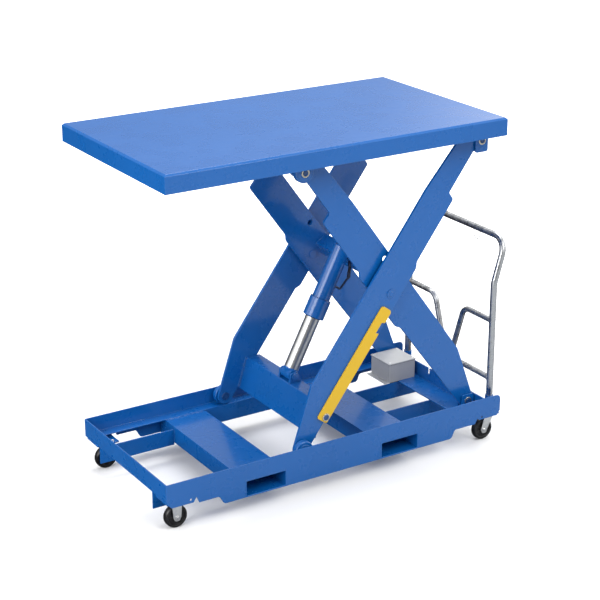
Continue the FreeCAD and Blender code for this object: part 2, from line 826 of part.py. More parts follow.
def leg(name, kind, way, end_bore_r, top_bore_r, extra_holes=()):
    """A flat leg with round ends, a bulge at the middle pivot and a narrow upper end."""
    body = plate(
        name, "XZ_Plane", [leg_outline(kind, way)], "leg_thickness",
        rounds=[((5,), "leg_step_top_r"), ((6,), "leg_step_foot_r"), ((1, 2, 3, 4), "leg_bulge_r"),
                ((11, 12), "leg_shoulder_r"), ((10,), "leg_tip_high_r"), ((9,), "leg_tip_low_r")],
    )
    for label, u, radius in (("end", "0", "leg_end_r"), ("top", f"{way} * leg_span", "leg_top_boss_r")):
        disc = sketch_in(body, f"{name}_{label}_disc", "XZ_Plane", [], [(u, "0", radius)])
        add_pad(body, disc, "leg_thickness")
    gap = "bore_gap"
    bores = [
        ("0", "0", f"{end_bore_r} + {gap}"),
        (f"{way} * leg_span / 2", "0", f"pivot_pin_r + {gap}"),
        (f"{way} * leg_span", "0", f"{top_bore_r} + {gap}"),
    ]
    bores += [(f"{way} * ({u})", v, radius) for u, v, radius in extra_holes]
    sketch = sketch_in(body, f"{name}_bores", "XZ_Plane", [], bores)
    before = body.Tip.Shape.Volume
    pocket = body.newObject("PartDesign::Pocket", f"{name}_bore")
    pocket.Profile = sketch
    pocket.Type = 1
    pocket.Midplane = True
    sketch.Visibility = False
    doc.recompute()
    if pocket.Shape.Volume >= before:
        raise RuntimeError(f"{name}: the bores cut nothing")
    return body


def scissor_legs():
    middle = "leg_thickness / 2"
    access = (("upper_eye_u", "upper_eye_v", "13"),)
    for side, word in SIDES:
        inner = leg(f"inner_leg_{word}", "inner", -1, "pivot_pin_r", "roller_pin_r", access)
        node(f"inner_leg_{word}", on_inner_legs(inner, f"{side} * (inner_leg_y + {middle})"))
        outer = leg(f"outer_leg_{word}", "outer", 1, "roller_pin_r", "pivot_pin_r")
        node(f"outer_leg_{word}", on_outer_legs(outer, f"{side} * (outer_leg_y + {middle})"))


def inner_cross_member():
    low_u = "-(inner_tube_u + inner_tube_width)"
    high_u = "-inner_tube_u"
    low_v = "inner_tube_v"
    high_v = "inner_tube_v + inner_tube_depth"
    outer = [(low_u, low_v), (high_u, low_v), (high_u, high_v), (low_u, high_v)]
    inner = [
        (f"{low_u} + tube_wall", f"{low_v} + tube_wall"),
        (f"{high_u} - tube_wall", f"{low_v} + tube_wall"),
        (f"{high_u} - tube_wall", f"{high_v} - tube_wall"),
        (f"{low_u} + tube_wall", f"{high_v} - tube_wall"),
    ]
    tube = plate("inner_cross_member", "XZ_Plane", [outer, inner], "2 * inner_leg_y",
                 rounds=[((0, 1, 2, 3), "tube_corner_r")])
    return node("inner_cross_member", on_inner_legs(tube))


def outer_cross_member():
    """A bent plate between the outer legs: a steep web and a flat seat for the cylinder."""
    seat_u = f"cross_top_u + cross_flange * {COS_LIFT}"
    seat_v = f"cross_top_v - cross_flange * {SIN_LIFT}"
    down_u = f"cross_plate * {SIN_LIFT}"
    down_v = f"cross_plate * {COS_LIFT}"
    web_length = "sqrt((cross_top_u - cross_bottom_u)^2 + (cross_top_v - cross_bottom_v)^2)"
    back_u = f"cross_plate * (cross_top_v - cross_bottom_v) / {web_length}"
    back_v = f"cross_plate * (cross_top_u - cross_bottom_u) / {web_length}"
    outline = [
        ("cross_bottom_u", "cross_bottom_v"),
        (f"cross_bottom_u + {back_u}", f"cross_bottom_v - {back_v}"),
        (f"cross_top_u - cross_bend_ease + {back_u} - {down_u}", f"cross_top_v - {back_v} - {down_v}"),
        (f"{seat_u} - {down_u}", f"{seat_v} - {down_v}"),
        (seat_u, seat_v),
        ("cross_top_u", "cross_top_v"),
    ]
    bent = plate("outer_cross_member", "XZ_Plane", [outline], "2 * outer_leg_y",
                 rounds=[((5,), "cross_bend_r")])
    return node("outer_cross_member", on_outer_legs(bent))


def cylinder_lugs():
    """Two pairs of lugs that hold the ends of the cylinder."""
    upper = []
    lower = []
    for side, word in SIDES:
        eye_u = "-upper_eye_u"
        face_u = "-(inner_tube_u + inner_tube_width)"
        outline = [
            (face_u, "inner_tube_v + lug_edge_inset"),
            (face_u, "inner_tube_v + inner_tube_depth - lug_edge_inset"),
            (eye_u, "upper_eye_v + upper_lug_reach"),
            (f"{eye_u} - upper_lug_reach", "upper_eye_v"),
            (eye_u, "upper_eye_v - upper_lug_reach"),
        ]
        bore = [(eye_u, "upper_eye_v", "cylinder_pin_r + bore_gap")]
        lug = plate(f"upper_lug_{word}", "XZ_Plane", [outline], "lug_thickness", bore,
                    rounds=[((2, 3, 4), "upper_lug_corner_r")])
        upper.append(on_inner_legs(lug, f"{side} * (upper_lug_y + lug_thickness / 2)"))
        seat_u = f"cross_top_u + cross_flange * {COS_LIFT}"
        seat_v = f"cross_top_v - cross_flange * {SIN_LIFT}"
        outline = [
            ("cross_top_u + 1", "cross_top_v - 1"),
            (seat_u, seat_v),
            ("lower_eye_u + lower_lug_reach", "2"),
            ("lower_eye_u", "lower_lug_rise"),
            ("lower_eye_u - lower_lug_rise", "lower_lug_shoulder"),
        ]
        bore = [("lower_eye_u", "0", "cylinder_pin_r + bore_gap")]
        lug = plate(f"lower_lug_{word}", "XZ_Plane", [outline], "lug_thickness", bore,
                    rounds=[((2, 3, 4), "lower_lug_corner_r")])
        lower.append(on_outer_legs(lug, f"{side} * (lower_lug_y + lug_thickness / 2)"))
    node("cylinder_upper_bracket", group("cylinder_upper_bracket", upper))
    node("cylinder_lower_bracket", group("cylinder_lower_bracket", lower))


# ---------------------------------------------------------------- lift cylinder


def along_cylinder(item):
    """Places a shape drawn along +Z from the cylinder's lower eye."""
    return place(item, LOWER_EYE_X, 0, LOWER_EYE_Z, CYLINDER_TILT)


def cross_bar(name, radius, width, height):
    """A round bar across the cylinder's axis at a height along it."""
    return rod(name, radius, width, ("0", f"-({width}) / 2", height), "+y")


def lift_cylinder():
    stem = turned("rod_stem", [
        ("0", "0"),
        ("rod_eye_r", "0"),
        ("rod_r", "rod_start"),
        ("rod_r", "rod_end"),
        ("0", "rod_end"),
    ])
    eye = cross_bar("rod_eye", "rod_eye_r", "rod_eye_width", "0")
    bore = cross_bar("rod_eye_bore", "cylinder_pin_r + bore_gap", "rod_eye_width + 10", "0")
    whole = cut("rod_whole", fuse("rod_solid", [stem, eye]), [bore])
    node("cylinder_rod", along_cylinder(group("cylinder_rod", [whole])))

    top = f"{CYLINDER_SPAN}"
    cap = f"{top} - barrel_eye_r - barrel_cap_gap"
    start = "gland_start + gland_lip"
    shell = turned("barrel_shell", [
        ("barrel_bore_r", start),
        ("barrel_r", start),
        ("barrel_r", f"{cap} - turned_edge"),
        ("barrel_r - turned_edge", cap),
        ("0", cap),
        ("0", f"{cap} - barrel_cap_thickness"),
        ("barrel_bore_r", f"{cap} - barrel_cap_thickness"),
    ])
    eye = cross_bar("barrel_eye", "barrel_eye_r", "barrel_eye_width", top)
    neck = box("barrel_neck", ("-barrel_neck_half_x", "-barrel_neck_half_y", f"{cap} - 5"),
               ("barrel_neck_half_x", "barrel_neck_half_y", top))
    bore = cross_bar("barrel_eye_bore", "cylinder_pin_r + 2", "barrel_eye_width + 10", top)
    whole = cut("barrel_whole", fuse("barrel_solid", [shell, eye, neck]), [bore])
    node("cylinder_barrel", along_cylinder(group("cylinder_barrel", [whole])))

    gland = turned("gland_ring", [
        ("rod_r + bore_gap", "gland_start"),
        ("gland_r - turned_edge", "gland_start"),
        ("gland_r", "gland_start + turned_edge"),
        ("gland_r", "gland_start + gland_length - turned_edge"),
        ("gland_r - turned_edge", "gland_start + gland_length"),
        ("barrel_r + bore_gap", "gland_start + gland_length"),
        ("barrel_r + bore_gap", f"{start} - 0.2"),
        ("rod_r + bore_gap", f"{start} - 0.2"),
    ])
    node("cylinder_gland", along_cylinder(gland))

    port = f"{cap} - port_below_cap"
    stub = rod("port_stub", "port_stub_r", "port_stub_length", ("barrel_r - 1", "0", port), "+x")
    elbow = rod("port_elbow", "port_elbow_r", "port_elbow_length",
                ("barrel_r + port_elbow_out", "0", f"{port} - port_elbow_r"), "+z")
    barrel_space = rod("port_clearance", "barrel_r + bore_gap", "80", ("0", "0", f"{port} - 40"), "+z")
    fitting = cut("port_whole", fuse("port_solid", [stub, elbow]), [barrel_space])
    node("hydraulic_fitting", along_cylinder(group("hydraulic_fitting", [fitting])))

    half = "lower_lug_y + lug_thickness + pin_clip_thickness"
    pin = turned("lower_pin", [
        ("0", f"-({half}) - pin_head_thickness"),
        ("lower_pin_head_r", f"-({half}) - pin_head_thickness"),
        ("lower_pin_head_r", f"-({half})"),
        ("cylinder_pin_r", f"-({half})"),
        ("cylinder_pin_r", half),
        ("lower_pin_head_r", half),
        ("lower_pin_head_r", f"{half} + pin_clip_thickness"),
        ("0", f"{half} + pin_clip_thickness"),
    ])
    node("cylinder_lower_pin", place(point_along(pin, FAR), LOWER_EYE_X, 0, LOWER_EYE_Z))
    stubs = []
    for side, word in SIDES:
        stub = turned(f"upper_pin_{word}", [
            ("0", "upper_lug_y + pin_play"),
            ("cylinder_pin_r", "upper_lug_y + pin_play"),
            ("cylinder_pin_r", "upper_lug_y + lug_thickness + pin_play"),
            ("upper_pin_head_r", "upper_lug_y + lug_thickness + pin_play"),
            ("upper_pin_head_r", "upper_lug_y + lug_thickness + pin_play + pin_head_thickness"),
            ("0", "upper_lug_y + lug_thickness + pin_play + pin_head_thickness"),
        ])
        stubs.append(place(point_along(stub, side), UPPER_EYE_X, 0, UPPER_EYE_Z))
    node("cylinder_upper_pin", group("cylinder_upper_pin", stubs))


# ---------------------------------------------------------------- maintenance bar


def maintenance_bar():
    """A safety prop that lies on the near outer leg and swings down on one bolt."""
    near_end = "prop_pivot_u - prop_tail"
    far_end = "prop_pivot_u + prop_length"
    notch_start = f"{far_end} - prop_notch_start"
    low = "prop_mid_v - prop_width / 2"
    high = "prop_mid_v + prop_width / 2"
    outline = [
        (near_end, low),
        (f"{notch_start} + prop_notch_slope", low),
        (notch_start, f"{low} + prop_notch_depth"),
        (f"{notch_start} + prop_notch_width", f"{low} + prop_notch_depth"),
        (f"{notch_start} + prop_notch_width + prop_notch_slope", low),
        (far_end, low),
        (far_end, high),
        (near_end, high),
    ]
    bar = plate("maintenance_bar", "XZ_Plane", [outline], "prop_thickness",
                [("prop_pivot_u", "prop_pivot_v", "prop_bolt_r + bore_gap")],
                rounds=[((0, 7), "prop_corner_r"), ((5, 6), "prop_tip_r")])
    middle = "-(outer_leg_y + leg_thickness + prop_standoff + prop_thickness / 2)"
    node("maintenance_bar", on_outer_legs(bar, middle))
    start = "outer_leg_y + leg_thickness + bore_gap"
    head = f"{start} + prop_standoff + prop_thickness + prop_play"
    bolt = turned("prop_bolt", [
        ("0", start),
        ("prop_bolt_r", start),
        ("prop_bolt_r", head),
        ("prop_washer_r", head),
        ("prop_washer_r", f"{head} + ring_thickness"),
        ("prop_bolt_head_r", f"{head} + ring_thickness"),
        ("prop_bolt_head_r", f"{head} + 2 * ring_thickness"),
        ("0", f"{head} + 2 * ring_thickness"),
    ])
    x = f"{ROLLER_X} + prop_pivot_u * {COS_LIFT} - prop_pivot_v * {SIN_LIFT}"
    z = f"base_pin_z + prop_pivot_u * {SIN_LIFT} + prop_pivot_v * {COS_LIFT}"
    node("maintenance_bar_bolt", place(point_along(bolt, NEAR), x, 0, z))


# ---------------------------------------------------------------- platform


def platform_deck():
    half_length = "deck_length / 2"
    half_width = "deck_width / 2"
    body = doc.addObject("PartDesign::Body", "deck")
    corners = [(f"-{half_length}", f"-{half_width}"), (half_length, f"-{half_width}"),
               (half_length, half_width), (f"-{half_length}", half_width)]
    sketch = sketch_in(body, "deck_outline", "XY_Plane", [corners])
    add_pad(body, sketch, "deck_depth", symmetric=False)
    depth = value("deck_depth")
    names = [
        f"Edge{number}"
        for number, edge in enumerate(body.Tip.Shape.Edges, start=1)
        if all(abs(vertex.Point.z - depth) < 0.01 for vertex in edge.Vertexes)
    ]
    chamfer = body.newObject("PartDesign::Chamfer", "deck_top_chamfer")
    chamfer.Base = (chamfer.BaseFeature, names)
    bind(chamfer, "Size", "deck_chamfer")
    doc.recompute()
    inside = [(f"-{half_length} + deck_wall", f"-{half_width} + deck_wall"),
              (f"{half_length} - deck_wall", f"-{half_width} + deck_wall"),
              (f"{half_length} - deck_wall", f"{half_width} - deck_wall"),
              (f"-{half_length} + deck_wall", f"{half_width} - deck_wall")]
    hollow = sketch_in(body, "deck_inside", "XY_Plane", [inside])
    before = body.Tip.Shape.Volume
    pocket = body.newObject("PartDesign::Pocket", "deck_pocket")
    pocket.Profile = hollow
    pocket.Reversed = True
    bind(pocket, "Length", "deck_depth - deck_wall")
    hollow.Visibility = False
    doc.recompute()
    if pocket.Shape.Volume > before / 2:
        raise RuntimeError("platform_deck: the pan was not hollowed")
    return node("platform_deck", place(body, "deck_mid_x", 0, f"{DECK_TOP_Z} - deck_depth"))


def platform_fittings():
    tracks = []
    for side, word in SIDES:
        low = "track_inner_y" if side == FAR else "-track_outer_y"
        high = "track_outer_y" if side == FAR else "-track_inner_y"
        web_low = "track_outer_y - track_thickness" if side == FAR else "-track_outer_y"
        flat = box(f"track_flat_{word}", ("track_front_x", low, TRACK_Z),
                   ("track_rear_x", high, f"{TRACK_Z} + track_thickness"))
        web = box(f"track_web_{word}", ("track_front_x", web_low, f"{TRACK_Z} + track_thickness"),
                  ("track_rear_x", f"{web_low} + track_thickness", DECK_UNDERSIDE_Z))
        tracks.append(fuse(f"track_{word}", [flat, web]))
    node("roller_tracks", group("roller_tracks", tracks))
    bars = []
    half = "stiffener_half_length"
    for index in range(3):
        x = f"(deck_mid_x + ({index} - 1) * deck_length / 4)"
        low_z = f"{DECK_UNDERSIDE_Z} - stiffener_depth"
        bars.append(box(f"stiffener_{index}", (f"{x} - stiffener_thickness / 2", f"-{half}", low_z),
                        (f"{x} + stiffener_thickness / 2", half, DECK_UNDERSIDE_Z)))
    node("platform_stiffeners", group("platform_stiffeners", bars))


# ---------------------------------------------------------------- casters


def caster_wheel(name, x, side):
    half = "wheel_width / 2"
    profile = [
        ("axle_r + bore_gap", f"-{half} - hub_proud"),
        ("hub_r", f"-{half} - hub_proud"),
        ("hub_r + hub_flare", f"-{half} + wheel_shoulder"),
        ("wheel_r - wheel_web_r", f"-{half} + wheel_shoulder"),
        ("wheel_r - wheel_rim_r", f"-{half}"),
        ("wheel_r - wheel_shoulder", f"-{half}"),
        ("wheel_r - wheel_crown", f"-{half} + wheel_shoulder"),
        ("wheel_r", "-wheel_tread_half"),
        ("wheel_r", "wheel_tread_half"),
        ("wheel_r - wheel_crown", f"{half} - wheel_shoulder"),
        ("wheel_r - wheel_shoulder", half),
        ("wheel_r - wheel_rim_r", half),
        ("wheel_r - wheel_web_r", f"{half} - wheel_shoulder"),
        ("hub_r + hub_flare", f"{half} - wheel_shoulder"),
        ("hub_r", f"{half} + hub_proud"),
        ("axle_r + bore_gap", f"{half} + hub_proud"),
    ]
    wheel = point_along(turned(name, profile), side)
    return node(name, place(wheel, x, f"{side} * caster_y", "wheel_r"))


def fork(name, x, side, top_z, trail):
    """A U-shaped fork; its legs lean back by the trail."""
    half = "fork_leg_width / 2"
    outline = [
        (f"-({trail}) - {half}", "wheel_r"),
        (f"-({trail}) - {half} + fork_foot_cut", "wheel_r - fork_leg_width / 2"),
        (f"-({trail}) + {half} - fork_foot_cut", "wheel_r - fork_leg_width / 2"),
        (f"-({trail}) + {half}", "wheel_r"),
        ("fork_crown_half", top_z),
        ("-fork_crown_half", top_z),
    ]
    pieces = []
    for index, way in enumerate((-1, 1)):
        leg_plate = plate(f"{name}_leg_{index}", "XZ_Plane", [outline], "fork_plate",
                          [(f"-({trail})", "wheel_r", "axle_r + bore_gap")],
                          rounds=[((1, 2), "fork_foot_r")])
        offset = f"{side} * caster_y + {way} * (fork_gap + fork_plate) / 2"
        pieces.append(place(leg_plate, x, offset, 0))
    half_width = "(fork_gap / 2 + fork_plate)"
    low_y = f"{side} * caster_y - {half_width}"
    high_y = f"{side} * caster_y + {half_width}"
    pieces.append(box(f"{name}_crown", (f"{x} - fork_crown_half", low_y, f"{top_z} - fork_plate"),
                      (f"{x} + fork_crown_half", high_y, top_z)))
    return pieces


def axle(name, x, side):
    half = "fork_gap / 2 + fork_plate"
    profile = [
        ("0", f"-({half}) - axle_head_height"),
        ("axle_head_r", f"-({half}) - axle_head_height"),
        ("axle_head_r", f"-({half}) - bolt_play"),
        ("axle_r", f"-({half}) - bolt_play"),
        ("axle_r", f"{half} + bolt_play"),
        ("axle_head_r", f"{half} + bolt_play"),
        ("axle_head_r", f"{half} + axle_nut_height"),
        ("0", f"{half} + axle_nut_height"),
    ]
    return place(point_along(turned(name, profile), side), x, f"{side} * caster_y", "wheel_r")


def caster_top_plate(name, x, side, z_low):
    half_x = "caster_plate_x / 2"
    half_y = "caster_plate_y / 2"
    corners = [(f"-{half_x}", f"-{half_y}"), (half_x, f"-{half_y}"), (half_x, half_y), (f"-{half_x}", half_y)]
    holes = [(f"{dx} * caster_bolt_x", f"{dy} * caster_bolt_y", "caster_bolt_r + bolt_hole_play")
             for dx in (-1, 1) for dy in (-1, 1)]
    flat = plate(name, "XY_Plane", [corners], "caster_plate_thickness", holes,
                 rounds=[((0, 1, 2, 3), "caster_plate_corner_r")])
    return place(flat, x, f"{side} * caster_y", f"{z_low} + caster_plate_thickness / 2")


def casters():
    plate_z = "caster_pad_z - caster_plate_thickness"
    rigid_forks = []
    rigid_axles = []
    swivel_plates = []
    for side, word in SIDES:
        pieces = fork(f"rigid_fork_{word}", "rigid_caster_x", side, plate_z, "0")
        pieces.append(caster_top_plate(f"rigid_plate_{word}", "rigid_caster_x", side, plate_z))
        rigid_forks.append(fuse(f"rigid_caster_{word}", pieces))
        rigid_axles.append(axle(f"rigid_axle_{word}", "rigid_caster_x", side))
        caster_wheel(f"front_wheel_{word}", "rigid_caster_x", side)

        top = caster_top_plate(f"swivel_top_{word}", "swivel_caster_x", side, plate_z)
        race = rod(f"swivel_race_{word}", "race_r", "race_depth - race_gap",
                   ("swivel_caster_x", f"{side} * caster_y", f"{plate_z} - race_depth + race_gap"), "+z")
        swivel_plates.append(fuse(f"swivel_plate_{word}", [top, race]))
        crown_z = f"({plate_z} - race_depth)"
        pieces = fork(f"swivel_fork_{word}", "swivel_caster_x", side, crown_z, "caster_trail")
        pieces.append(rod(f"swivel_hub_{word}", "race_r - fork_plate", "race_hub_height",
                          ("swivel_caster_x", f"{side} * caster_y", crown_z), "+z"))
        node(f"swivel_fork_{word}", fuse(f"swivel_caster_{word}", pieces))
        wheel_x = "swivel_caster_x - caster_trail"
        node(f"swivel_axle_{word}", axle(f"swivel_axle_{word}", wheel_x, side))
        caster_wheel(f"rear_wheel_{word}", wheel_x, side)
    node("rigid_caster_forks", group("rigid_caster_forks", rigid_forks))
    node("rigid_caster_axles", group("rigid_caster_axles", rigid_axles))
    node("swivel_caster_plates", group("swivel_caster_plates", swivel_plates))
    grip = "caster_plate_thickness + caster_pad_thickness"
    bolts = []
    for side, word in SIDES:
        for index, (x, y) in enumerate(caster_bolt_places(side)):
            bolt = turned(f"caster_bolt_{word}_{index}", [
                ("0", "-caster_nut_depth"),
                ("caster_nut_r", "-caster_nut_depth"),
                ("caster_nut_r", "-bolt_play"),
                ("caster_bolt_r", "-bolt_play"),
                ("caster_bolt_r", f"{grip} + bolt_play"),
                ("caster_head_r", f"{grip} + bolt_play"),
                ("caster_head_r", f"{grip} + caster_head_height"),
                ("0", f"{grip} + caster_head_height"),
            ])
            bolts.append(place(bolt, x, y, plate_z))
    node("caster_bolts", group("caster_bolts", bolts))


# ---------------------------------------------------------------- control box


def control_box():
    low = ("box_front_x", "box_near_y", CHANNEL_TOP_Z)
    high = ("box_rear_x", "box_far_y", f"{CHANNEL_TOP_Z} + box_height")
    shell = box("box_shell", low, high)
    flange = box("box_foot", ("box_front_x - box_flange", "box_near_y", CHANNEL_TOP_Z),
                 ("box_rear_x", "box_far_y", f"{CHANNEL_TOP_Z} + box_flange_thickness"))
    inside = box("box_inside",
                 ("box_front_x + box_wall", "box_near_y + box_wall", f"{CHANNEL_TOP_Z} + box_wall"),
                 ("box_rear_x - box_wall", "box_far_y - box_wall", f"{CHANNEL_TOP_Z} + box_height + 5"))
    node("control_box", cut("control_box", fuse("box_solid", [shell, flange]), [inside]))
    out = "box_lid_overhang"
    lid_z = f"{CHANNEL_TOP_Z} + box_height"
    lid = box("box_lid_plate", (f"box_front_x - {out}", f"box_near_y - {out}", lid_z),
              (f"box_rear_x + {out}", f"box_far_y + {out}", f"{lid_z} + box_lid"))
    places = [(x, y) for x in ("box_front_x + box_screw_inset", "box_rear_x - box_screw_inset")
              for y in ("box_near_y + box_screw_inset", "box_far_y - box_screw_inset")]
    holes = [rod(f"box_lid_hole_{index}", "box_screw_r + bore_gap", "box_lid + 2",
                 (x, y, f"{lid_z} - 1"), "+z") for index, (x, y) in enumerate(places)]
    node("control_box_lid", cut("control_box_lid", lid, holes))
    screws = []
    for index, (x, y) in enumerate(places):
        screw = turned(f"box_screw_{index}", [
            ("0", "-box_screw_length"),
            ("box_screw_r", "-box_screw_length"),
            ("box_screw_r", "box_lid + box_screw_play"),
            ("box_screw_head_r", "box_lid + box_screw_play"),
            ("box_screw_head_r", "box_lid + box_screw_side"),
            ("box_screw_top_r", "box_lid + box_screw_head"),
            ("0", "box_lid + box_screw_head"),
        ])
        screws.append(place(screw, x, y, lid_z))
    node("control_box_screws", group("control_box_screws", screws))


# ---------------------------------------------------------------- push handle


def bent_wire(points, radii):
    """A line through points with each inner corner rounded to its radius."""
    edges = []
    start = points[0]
    for before, corner, after, radius in zip(points, points[1:], points[2:], radii):
        back = (before - corner).normalize()
        ahead = (after - corner).normalize()
        half = back.getAngle(ahead) / 2
        reach = radius / math.tan(half)
        centre = corner + (back + ahead).normalize() * (radius / math.sin(half))
        first = corner + back * reach
        last = corner + ahead * reach
        middle = centre + (corner - centre).normalize() * radius
        edges.append(Part.makeLine(start, first))
        edges.append(Part.Arc(first, middle, last).toShape())
        start = last
    edges.append(Part.makeLine(start, points[-1]))
    return Part.Wire(edges)


def swept(wire, radius):
    begin = wire.Edges[0]
    centre = begin.valueAt(begin.FirstParameter)
    direction = begin.tangentAt(begin.FirstParameter)
    ring = Part.Wire([Part.makeCircle(radius, centre, direction)])
    return wire.makePipeShell([ring], True, True)


def bent_tube(name, points, radii, radius, wall=0.0):
    """A round tube or bar bent through points, set from the sheet's values."""
    wire = bent_wire(points, radii)
    shape = swept(wire, radius)
    if wall:
        shape = shape.cut(swept(wire, radius - wall))
    item = doc.addObject("Part::Feature", name)
    item.Shape = shape
    item.Placement = FreeCAD.Placement()
    return item


def push_handle():
    x = value("handle_x")
    y = value("handle_y")
    radius = value("handle_tube_r")
    wall = value("handle_tube_wall")
    lean_x = x + value("handle_lean")
    low, kink, top = value("handle_bottom_z"), value("handle_kink_z"), value("handle_top_z")
    points = [
        VECTOR(x, -y, low), VECTOR(x, -y, kink), VECTOR(lean_x, -y, top),
        VECTOR(lean_x, y, top), VECTOR(x, y, kink), VECTOR(x, y, low),
    ]
    bends = [value("handle_kink_r"), value("handle_bend_r"), value("handle_bend_r"), value("handle_kink_r")]
    tube = bent_tube("handle_tube", points, bends, radius, wall)
    bolt_holes = [
        rod(f"handle_bolt_hole_{word}", "handle_bolt_r + slip_fit", "4 * socket_r",
            ("handle_x", f"{side} * handle_y - 2 * socket_r", "handle_bolt_z"), "+y")
        for side, word in SIDES
    ]
    node("handle_frame", cut("handle_frame", tube, bolt_holes))

    loop_z = value("loop_top_z")
    bar_z = value("lower_bar_z")
    bar_r = value("lower_bar_r")
    for side, word in SIDES:
        start = VECTOR(x, side * y, loop_z)
        corner = VECTOR(x, side * value("loop_corner_y"), loop_z)
        foot = VECTOR(x, side * value("loop_foot_y"), bar_z)
        loop = bent_tube(f"loop_{word}", [start, corner, foot], [value("loop_bend_r")], bar_r)
        fish_mouth = rod(f"loop_mouth_{word}", "handle_tube_r", "200",
                         ("handle_x", f"{side} * handle_y", "loop_top_z - 100"), "+z")
        saddle = rod(f"loop_saddle_{word}", "lower_bar_r", "400",
                     ("handle_x", "-200", "lower_bar_z"), "+y")
        below = box(f"loop_below_{word}", ("handle_x - 50", "-200", "lower_bar_z - 60"),
                    ("handle_x + 50", "200", "lower_bar_z"))
        beyond_low = "handle_y" if side == FAR else "-handle_y - 60"
        beyond_high = "handle_y + 60" if side == FAR else "-handle_y"
        beyond = box(f"loop_beyond_{word}", ("handle_x - 50", beyond_low, "loop_top_z - 50"),
                     ("handle_x + 50", beyond_high, "loop_top_z + 50"))
        node(f"handle_loop_{word}", cut(f"handle_loop_{word}", loop, [fish_mouth, saddle, below, beyond]))

    bar = rod("lower_bar", "lower_bar_r", "2 * handle_y", ("handle_x", "-handle_y", "lower_bar_z"), "+y")
    mouths = [
        rod(f"bar_mouth_{word}", "handle_tube_r", "200",
            ("handle_x", f"{side} * handle_y", "lower_bar_z - 100"), "+z")
        for side, word in SIDES
    ]
    node("handle_lower_bar", cut("handle_lower_bar", bar, mouths))

    sockets = []
    bolts = []
    for side, word in SIDES:
        outer = rod(f"socket_outer_{word}", "socket_r", f"socket_top_z - {PAD_TOP_Z}",
                    ("handle_x", f"{side} * handle_y", PAD_TOP_Z), "+z")
        inner = rod(f"socket_bore_{word}", "handle_tube_r + slip_fit", "200",
                    ("handle_x", f"{side} * handle_y", f"{PAD_TOP_Z} + 0.5"), "+z")
        hole = rod(f"socket_hole_{word}", "handle_bolt_r + slip_fit", "4 * socket_r",
                   ("handle_x", f"{side} * handle_y - 2 * socket_r", "handle_bolt_z"), "+y")
        sockets.append(cut(f"socket_{word}", outer, [inner, hole]))
        reach = "socket_r + 1"
        bolt = turned(f"handle_bolt_{word}", [
            ("0", f"-({reach}) - handle_bolt_head"),
            ("handle_bolt_head_r", f"-({reach}) - handle_bolt_head"),
            ("handle_bolt_head_r", f"-({reach})"),
            ("handle_bolt_r", f"-({reach})"),
            ("handle_bolt_r", reach),
            ("handle_bolt_head_r", reach),
            ("handle_bolt_head_r", f"{reach} + handle_nut"),
            ("0", f"{reach} + handle_nut"),
        ])
        bolts.append(place(point_along(bolt, side), "handle_x", f"{side} * handle_y", "handle_bolt_z"))
    node("handle_sockets", group("handle_sockets", sockets))
    node("handle_bolts", group("handle_bolts", bolts))

    hook_y = value("hook_y")
    half = value("hook_width") / 2
    wire_r = value("hook_wire_r")
    hang_z = top - radius - wire_r / 2
    drop_z = hang_z - value("hook_drop")
    hook_x = lean_x
    bail_points = [
        VECTOR(hook_x, hook_y - half, hang_z), VECTOR(hook_x, hook_y - half, drop_z),
        VECTOR(hook_x, hook_y + half, drop_z), VECTOR(hook_x, hook_y + half, hang_z),
    ]
    bail = bent_tube("bail_wire", bail_points, [half * 0.95, half * 0.95], wire_r)
    bar_space = rod("bail_clearance", "handle_tube_r", "2 * handle_y",
                    ("handle_x + handle_lean", "-handle_y", "handle_top_z"), "+y")
    node("lanyard_hook", cut("lanyard_hook", bail, [bar_space]))


# ---------------------------------------------------------------- build and write

for each_side, each_word in SIDES:
    side_rail(each_side, each_word)
front_end_plate()
fork_pocket("front", "pocket_front_x")
fork_pocket("rear", "pocket_rear_x")
stringers()
rear_cross_channel()
pivot_brackets()
pins()
rollers()
scissor_legs()
inner_cross_member()
outer_cross_member()
cylinder_lugs()
lift_cylinder()
maintenance_bar()
platform_deck()
platform_fittings()
casters()
control_box()
push_handle()
doc.recompute()

for item in doc.Objects:
    if "Invalid" in item.State or "Error" in item.State:
        raise RuntimeError(f"{item.Label} did not recompute: {item.State}")
for name, item in nodes.items():
    if item.Shape.isNull() or not item.Shape.isValid() or not item.Shape.Solids:
        raise RuntimeError(f"{name} has no valid solid")

os.makedirs("parts", exist_ok=True)
for name, item in nodes.items():
    item.Shape.exportStep(f"parts/{name}.step")
print(len(nodes), "nodes written")
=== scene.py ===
import json
import math

import bmesh
import bpy
from mathutils import Matrix, Vector

